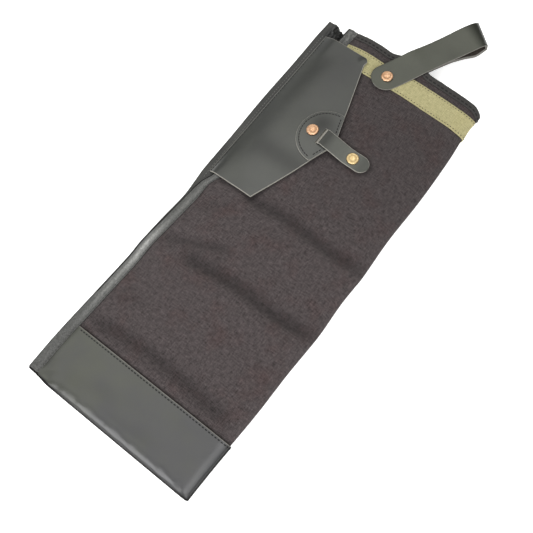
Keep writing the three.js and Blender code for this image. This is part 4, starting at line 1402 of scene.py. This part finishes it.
def ribbon(name, columns, rows, way, length, sideways, half_width, round_start, thickness, pared_look):
    """Flat strip of leather along a way. sideways gives its direction across at each share of the way.

    Its upper edges are pared: the faces there slope down a little and have the look of a cut edge. On a
    strip with two round ends that is only so along the edge on the right.
    """
    piece, s, t = new_grid(name, columns, rows)
    share = closer_at_ends(t, round_start)
    at = share * (len(way) - 1)
    steps = np.arange(len(way))
    point = between(at, steps, way)
    heading = between(at, steps, unit(np.gradient(way, axis=0)))
    side = sideways(share)
    normal = unit(np.cross(side, heading))
    from_end = (1 - share) * length
    if round_start:
        from_end = np.minimum(from_end, share * length)
    half = round_end(half_width, from_end)
    inner = np.maximum(half - PARED, 0.6 * half)
    edge = np.sign(2 * s - 1) * np.interp(np.abs(2 * s - 1), (0, 1 - 2 / columns, 1), (0, 1, 2))
    edge = np.where(np.abs(edge) > 1, np.sign(edge) * lerp(inner, half, np.abs(edge) - 1), edge * inner)
    from_rim = np.minimum(half - np.abs(edge), from_end)
    level = thickness / 2 - PARED_SLOPE * np.clip(PARED - from_rim, 0, PARED)
    form(piece, point + side * edge[:, None] + normal * level[:, None])
    for face in piece.data.polygons:
        depths = [from_rim[k] for k in face.vertices]
        bare = not round_start or edge[face.vertices[0]] > 0
        if bare and min(depths) < 0.02 and max(depths) < 1.3 * PARED:
            face.material_index = pared_look
    return piece


def closure_tab():
    lie = {
        "canvas": lambda x: front_height(x, TAB_Y) + LYING_GAP + TAB / 2,
        "burr": lambda x: lie["canvas"](x) + BURR_HEIGHT + GAP,
        "flap": lambda x: flap_under(x, TAB_Y) + PATCH_TOP + LYING_GAP + TAB / 2,
        "slot": lambda x: (lie["burr"](x) + lie["flap"](x)) / 2,
    }
    route = (
        (TAB_HIDDEN_END, "burr", 0),
        (-31, "burr", 0),
        (-22.4, "burr", 0),
        (-18.1, "burr", 0.3),
        (-16.2, "slot", 0),
        (-14.1, "flap", 0),
        (-8, "flap", 0),
        (FLAP_TIP_X, "flap", 0),
        (6, "canvas", 2.1),
        (14, "canvas", 0.1),
        (25, "canvas", 0),
        (TAB_TIP, "canvas", 0),
    )
    points = [(x, TAB_Y, lie[on](x) + stand) for x, on, stand in route]
    way, length = smooth_way(points, 400)

    def across(share):
        return np.tile((0.0, -1.0, 0.0), (len(share), 1))

    piece = ribbon("closure_tab_strap", 14, 150, way, length, across, TAB_HALF_WIDTH, False, TAB, 2)
    x = vertex_places(piece)[:, 0] / MM
    # Painted shade on the tab near its slot and towards its tip
    by_slot = TAB_SHADE[0] * fade(x, *TAB_SHADE_SLOT)
    darken(piece, by_slot + TAB_SHADE[1] * smoothstep(x, *TAB_SHADE_TIP))
    dress(piece, tab_leather, flesh_side, cut_edge)
    thicken(piece, TAB, inner=1, rim=2)
    for face in piece.data.polygons:
        in_slot = SLOT[0] - CLIMB_ROOM < face.center.x / MM < SLOT[1] + CLIMB_ROOM
        if in_slot and face.normal.x < -TAB_CLIMB and face.normal.z > 0:
            face.material_index = 2
    finish_piece(piece, "leather", "closure_tab")


# Handle


def handle_loop():
    run = np.subtract(HANDLE_FOLD, HANDLE_FRONT)
    front_length = np.linalg.norm(run)
    run = run / front_length

    def sag(along):
        low, high = HANDLE_SAG_SPAN
        return np.sin(math.pi * np.clip((along - low) / (high - low), 0, 1)) ** 2

    def front(along, height=None):
        x, y = np.add(HANDLE_FRONT, run * along)
        if height is None:
            height = front_height(x, y) + WRAP + LYING_GAP + STRAP / 2
        return x, y, height

    def back(along, rise=0.0):
        slope, bow_from, bow_to = UNDER_BOW
        from_fold = HANDLE_RUN - along
        bow = slope * from_fold * fade(from_fold, bow_from, bow_to)
        x = HANDLE_BACK[0] + HANDLE_WAY[0] * along + HANDLE_WAY[1] * bow
        y = HANDLE_BACK[1] + HANDLE_WAY[1] * along - HANDLE_WAY[0] * bow
        tall, first, last = UNDER_RISE
        return x, y, strap_under(along) + tall * smoothstep(along, first, last) + STRAP / 2 + rise

    points = [front(k) for k in np.linspace(-HANDLE_END, HANDLE_LIES_TO, 6)]
    points += [front(along, height) for along, height in HANDLE_FALL]
    points.append(front(front_length - LOOP_ENTRY * LOOP_REACH, LOOP_TOP))
    points.append(front(front_length - SHOULDER_REACH * LOOP_REACH, LOOP_TOP - SHOULDER_DROP))
    points.append(front(front_length, (LOOP_TOP + STRAP / 2) / 2))
    points.append(back(HANDLE_RUN - SHOULDER_REACH * LOOP_REACH, SHOULDER_DROP))
    points += [back(k) for k in np.linspace(HANDLE_RUN - LOOP_ENTRY * LOOP_REACH, -HANDLE_END, 10)]
    way, length = smooth_way(points, 900)
    turn_front = math.atan2(run[0], run[1])
    turn_back = math.atan2(*HANDLE_WAY)
    fold_share = np.argmax(way @ (*run, 0.0)) / (len(way) - 1)

    def sideways(share):
        turn = lerp(turn_front, turn_back, smoothstep(share, *HANDLE_TURNS))
        turn = turn + FOLD_SLANT * bell(share, fold_share, FOLD_SLANT_REACH)
        tilt = HANDLE_TILT * sag(share * length - HANDLE_END)
        return unit(np.stack([np.cos(turn), -np.sin(turn), tilt], -1))

    piece = ribbon("handle_strap_loop", 18, 260, way, length, sideways, STRAP_HALF_WIDTH, True, STRAP, 3)
    along = (vertex_places(piece)[:, :2] / MM - HANDLE_FRONT) @ run
    # Darker towards the fold end
    darken(piece, STRAP_END_DARK * smoothstep(front_length - along, *FOLD_DARK))
    dress(piece, strap_leather, flesh_side, dyed_edge, sewn_edge)
    thicken(piece, STRAP, inner=1, rim=2)
    finish_piece(piece, "leather", "handle_strap")


# Rivets and snap


def front_turn(place):
    """How a fastener on the front leans with the canvas under it."""
    (x, y), step = place, 1.0
    slope = (front_height(x + step, y) - front_height(x - step, y)) / (2 * step)
    return Vector((0, 0, 1)).rotation_difference(Vector((-slope, 0, 1)).normalized())


def fastener(name, node, slot, metal, place, seat, stack, turn):
    """Domed cap over the stack, a post through it and a burr under it, from one disc."""
    bpy.ops.mesh.primitive_circle_add(vertices=CAP_CORNERS, radius=CAP_RADIUS * MM, fill_type="NGON")
    piece = bpy.context.object
    piece.name = piece.data.name = name
    bpy.ops.object.mode_set(mode="EDIT")
    bpy.ops.mesh.select_mode(type="FACE")
    bpy.ops.mesh.select_all(action="SELECT")
    size, height = 1.0, 0.0
    for radius, rise in CAP_PROFILE:
        step = (0, 0, (rise - height) * CAP_HEIGHT * MM)
        bpy.ops.mesh.extrude_region_move(TRANSFORM_OT_translate={"value": step})
        bpy.ops.transform.resize(value=(radius / size, radius / size, 1))
        size, height = radius, rise
    bpy.ops.object.mode_set(mode="OBJECT")
    mesh = bmesh.new()
    mesh.from_mesh(piece.data)
    base = [v for v in mesh.verts if abs(v.co.z) < 1e-7]
    rim = [e for e in mesh.edges if all(v in base for v in e.verts)]
    foot = -(stack + 2 * GAP)
    shank = ((POST_RADIUS, 0), (POST_RADIUS, foot), (BURR_RADIUS, foot), (BURR_RADIUS, foot - BURR_HEIGHT))
    for radius, z in shank:
        made = bmesh.ops.extrude_edge_only(mesh, edges=rim)["geom"]
        rim = [g for g in made if isinstance(g, bmesh.types.BMEdge)]
        for vertex in {v for e in rim for v in e.verts}:
            flat = vertex.co.xy.normalized() * radius * MM
            vertex.co = (flat.x, flat.y, z * MM)
    bmesh.ops.contextual_create(mesh, geom=rim)
    bmesh.ops.recalc_face_normals(mesh, faces=mesh.faces)
    mesh.to_mesh(piece.data)
    mesh.free()
    from_middle = np.array([v.co.xy.length for v in piece.data.vertices]) / (CAP_RADIUS * MM)
    darken(piece, bell(from_middle, *CAP_TARNISH))
    piece.data.transform(Matrix.Translation(Vector((*place, seat)) * MM) @ turn.to_matrix().to_4x4())
    piece.data.update()
    dress(piece, metal)
    round_edges(piece, CAP_EDGE, CAP_EDGE_ANGLE)
    finish_piece(piece, slot, node)


def fasteners():
    upside_down = Quaternion((1, 0, 0), math.pi)
    fastener("handle_rivet_front_cap", "handle_rivet_front", "copper", copper, HANDLE_FRONT,
             front_height(*HANDLE_FRONT) + WRAP + LYING_GAP + STRAP + GAP,
             STRAP + LYING_GAP + STRIPE + GAP + CANVAS, front_turn(HANDLE_FRONT))
    fastener("handle_rivet_back_cap", "handle_rivet_back", "copper", copper, HANDLE_BACK,
             CAP_HEIGHT, STRAP + GAP + STRIPE + GAP + CANVAS, upside_down)
    fastener("flap_rivet_cap", "flap_rivet", "copper", copper, FLAP_RIVET,
             flap_under(*FLAP_RIVET) + PATCH_TOP + GAP, TAB + GAP + PATCH_TOP, front_turn(FLAP_RIVET))
    fastener("tab_snap_cap", "tab_snap", "brass", brass, TAB_SNAP,
             front_height(*TAB_SNAP) + LYING_GAP + TAB + GAP, TAB + LYING_GAP + CANVAS, front_turn(TAB_SNAP))


# Stitches


def stitch_shape():
    """One stitch, lying along x with its middle at the origin and a size of 1: a bead with blunt ends."""
    bpy.ops.mesh.primitive_uv_sphere_add(segments=8, ring_count=6, radius=0.5)
    bead = bpy.context.object
    bead.data.transform(Matrix.Rotation(math.pi / 2, 4, "Y"))
    points = np.array([v.co for v in bead.data.vertices])
    faces = [tuple(f.vertices) for f in bead.data.polygons]
    points[:, 0] = np.sign(points[:, 0]) * (0.5 * (np.abs(points[:, 0]) * 2) ** STITCH_BLUNT)
    bpy.data.objects.remove(bead)
    return points, faces


STITCH_POINTS, STITCH_FACES = stitch_shape()


def stitch_row(line, pitch, size):
    """Stitches along a line of points and normals: each one's middle, heading and normal, and their size."""
    points, normals = line
    lengths = run_lengths(points)
    count = max(1, int(lengths[-1] // pitch))
    at = (np.arange(count) + 0.5) * lengths[-1] / count
    heading = unit(between(at, lengths, np.gradient(points, axis=0)))
    normal = unit(between(at, lengths, normals))
    pressed = smoothstep(-normal[:, 2], *PRESSED_BELOW)
    stand = lerp(size[2] * (1 - STITCH_SINK), PRESSED_STITCH, pressed)
    middle = between(at, lengths, points) + normal * (stand - size[2] / 2)[:, None]
    return middle, heading, normal, size


def sew(name, thread, *rows):
    """Joins rows of stitches into one piece."""
    corners, faces = [], []
    for middles, headings, normals, size in rows:
        for middle, heading, normal in zip(middles, headings, normals):
            axes = np.stack([heading, np.cross(normal, heading), normal])
            base = len(corners) * len(STITCH_POINTS)
            corners.append(middle + (STITCH_POINTS * size) @ axes)
            faces += [tuple(k + base for k in f) for f in STITCH_FACES]
    mesh = bpy.data.meshes.new(name)
    mesh.from_pydata((np.concatenate(corners) * MM).tolist(), [], faces)
    mesh.update()
    piece = new_object(name, mesh)
    dress(piece, thread)
    finish_piece(piece, "canvas")


def flap_line(x, y, level):
    """Points and normals along a line at a level over the flap's underside."""
    step = 0.5
    slope_x = (flap_top(x + step, y, level) - flap_top(x - step, y, level)) / (2 * step)
    slope_y = (flap_top(x, y + step, level) - flap_top(x, y - step, level)) / (2 * step)
    points = np.stack([x, y, flap_top(x, y, level)], -1)
    return points, unit(np.stack([-slope_x, -slope_y, np.ones_like(x)], -1))


def stations_round(first, last, side):
    """Stations from the first on the front to the last on the back, with side of them on each."""
    front, fold, back = np.linspace(first, 1, side), np.linspace(1, 3, 40), np.linspace(3, last, side)
    return np.concatenate([front, fold[1:], back[1:]])


def bottom_stitches():
    u = stations_round(BOTTOM_SEWN, 4 - BOTTOM_SEWN, 60)
    stand = BOTTOM_LIFT * smoothstep(np.minimum(u, 4 - u), *STAND_OFF)
    line = on_shell(u, np.full_like(u, SEAM_Y - BOTTOM_INSET), stand)
    sew("leather_bottom_stitches", black_thread, stitch_row(line, *BOTTOM_STITCH))


def band_stitches():
    u = stations_round(*inside_bindings(STRIPE_SEWN, STRIPE_FROM), 70)
    rows = []
    for y in (STRIPE_FROM + STRIPE_INSET, STRIPE_TO - STRIPE_INSET):
        rows.append(stitch_row(on_shell(u, y - stripe_drop(u), GAP + STRIPE), *STRIPE_STITCH))
    sew("stripe_stitches", black_thread, *rows)
    line = on_shell(u, mouth_edge(u) - MOUTH_INSET, WRAP + BINDING_STITCH_LIFT)
    sew("mouth_binding_stitches", black_thread, stitch_row(line, *MOUTH_STITCH))


def side_stitches():
    y = np.linspace(BINDING_BOTTOM + END_CLEAR, FRONT_BINDING_TOP - END_CLEAR, 240)
    u = front_share(FRONT_INSET * front_narrowing(y), y)
    line = on_shell(u, y, WRAP + BINDING_STITCH_LIFT)
    sew("front_binding_stitches", grey_thread, stitch_row(line, *FRONT_STITCH))
    y = np.linspace(*BACK_SEWN_Y, 120)
    inside, normal = on_shell(4 - back_share(BACK_INSET, y), y, -(CANVAS + WRAP))
    sew("back_binding_stitches", pale_thread, stitch_row((inside, -normal), *BACK_STITCH))


def flap_stitches():
    y = np.linspace(FLAP_FROM + END_CLEAR, FLAP_TO - END_CLEAR, 90)
    line = flap_line(np.full_like(y, FLAP_LEFT + FLAP_INSET), y, FLAP)
    sew("flap_stitches", black_thread, stitch_row(line, *FLAP_STITCH))


def patch_stitches():
    angles = np.linspace(*np.radians(PATCH_ARC), 70)
    ring = PATCH_RADIUS - PATCH_INSET
    x, y = PATCH_CENTRE[0] + ring * np.cos(angles), PATCH_CENTRE[1] + ring * np.sin(angles)
    kept = x < flap_right(y) - PATCH_INSET
    rows = [stitch_row(flap_line(x[kept], y[kept], PATCH_TOP), *PATCH_STITCH)]
    beside = TAB_HALF_WIDTH + END_CLEAR
    for low, high in ((TAB_Y + beside, PATCH_TIP_Y[1]), (PATCH_TIP_Y[0], TAB_Y - beside)):
        y = np.linspace(low, high, 30)
        rows.append(stitch_row(flap_line(flap_right(y) - PATCH_INSET, y, PATCH_TOP), *PATCH_STITCH))
    sew("flap_patch_stitches", black_thread, *rows)


canvas_pouch()
stripe_band()
bottom_pocket()
front_binding()
back_binding()
mouth_binding()
flap_sheet()
flap_patch()
closure_tab()
handle_loop()
fasteners()
bottom_stitches()
band_stitches()
side_stitches()
flap_stitches()
patch_stitches()


# Stage: a pale floor, soft light from above, and the camera


def pale_floor():
    bpy.ops.mesh.primitive_plane_add(size=FLOOR_SIZE, location=(0, 0, FLOOR_LEVEL))
    floor = bpy.context.object
    floor.name = "floor"
    s = Shader("pale_floor")
    speck = s.noise(s.place("Object"), 30.0, 3.0)
    s.set(Base_Color=s.ramp(speck, (0.3, (0.95, 0.95, 0.95)), (0.7, (0.98, 0.98, 0.98))), Roughness=0.9)
    s.set(Emission_Color=(*WHITE, 1), Emission_Strength=FLOOR_GLOW)
    dress(floor, s.material)


def soft_light(name, place, aim, size, power, tint):
    lamp = bpy.data.lights.new(name, "AREA")
    lamp.shape = "RECTANGLE"
    lamp.size, lamp.size_y = size
    lamp.energy = power
    lamp.color = tint
    holder = new_object(name, lamp)
    holder.location = place
    holder.rotation_euler = (Vector(aim) - Vector(place)).to_track_quat("-Z", "Y").to_euler()


def studio():
    """An even pale room, a broad soft box overhead and smaller ones beside the table."""
    world = bpy.data.worlds.new("studio")
    world.use_nodes = True
    background = world.node_tree.nodes["Background"].inputs
    background["Color"].default_value = (*WHITE, 1)
    background["Strength"].default_value = ROOM_LIGHT
    bpy.context.scene.world = world
    for light in LIGHTS:
        soft_light(*light)


def photo_camera():
    look = Vector(CAMERA_LOOK).normalized()
    right = look.cross(Vector(CAMERA_UP)).normalized()
    up = right.cross(look)
    lens = bpy.data.cameras.new("camera")
    lens.lens = CAMERA_LENS
    lens.sensor_width = CAMERA_SENSOR
    lens.clip_start = CAMERA_NEAR
    camera = new_object("camera", lens)
    turn = Matrix((right, up, -look)).transposed().to_4x4()
    camera.matrix_world = Matrix.Translation(Vector(CAMERA_PLACE) * MM) @ turn
    bpy.context.scene.camera = camera


pale_floor()
studio()
photo_camera()
bpy.context.scene.view_settings.view_transform = "Standard"
bpy.context.scene.view_settings.look = "None"
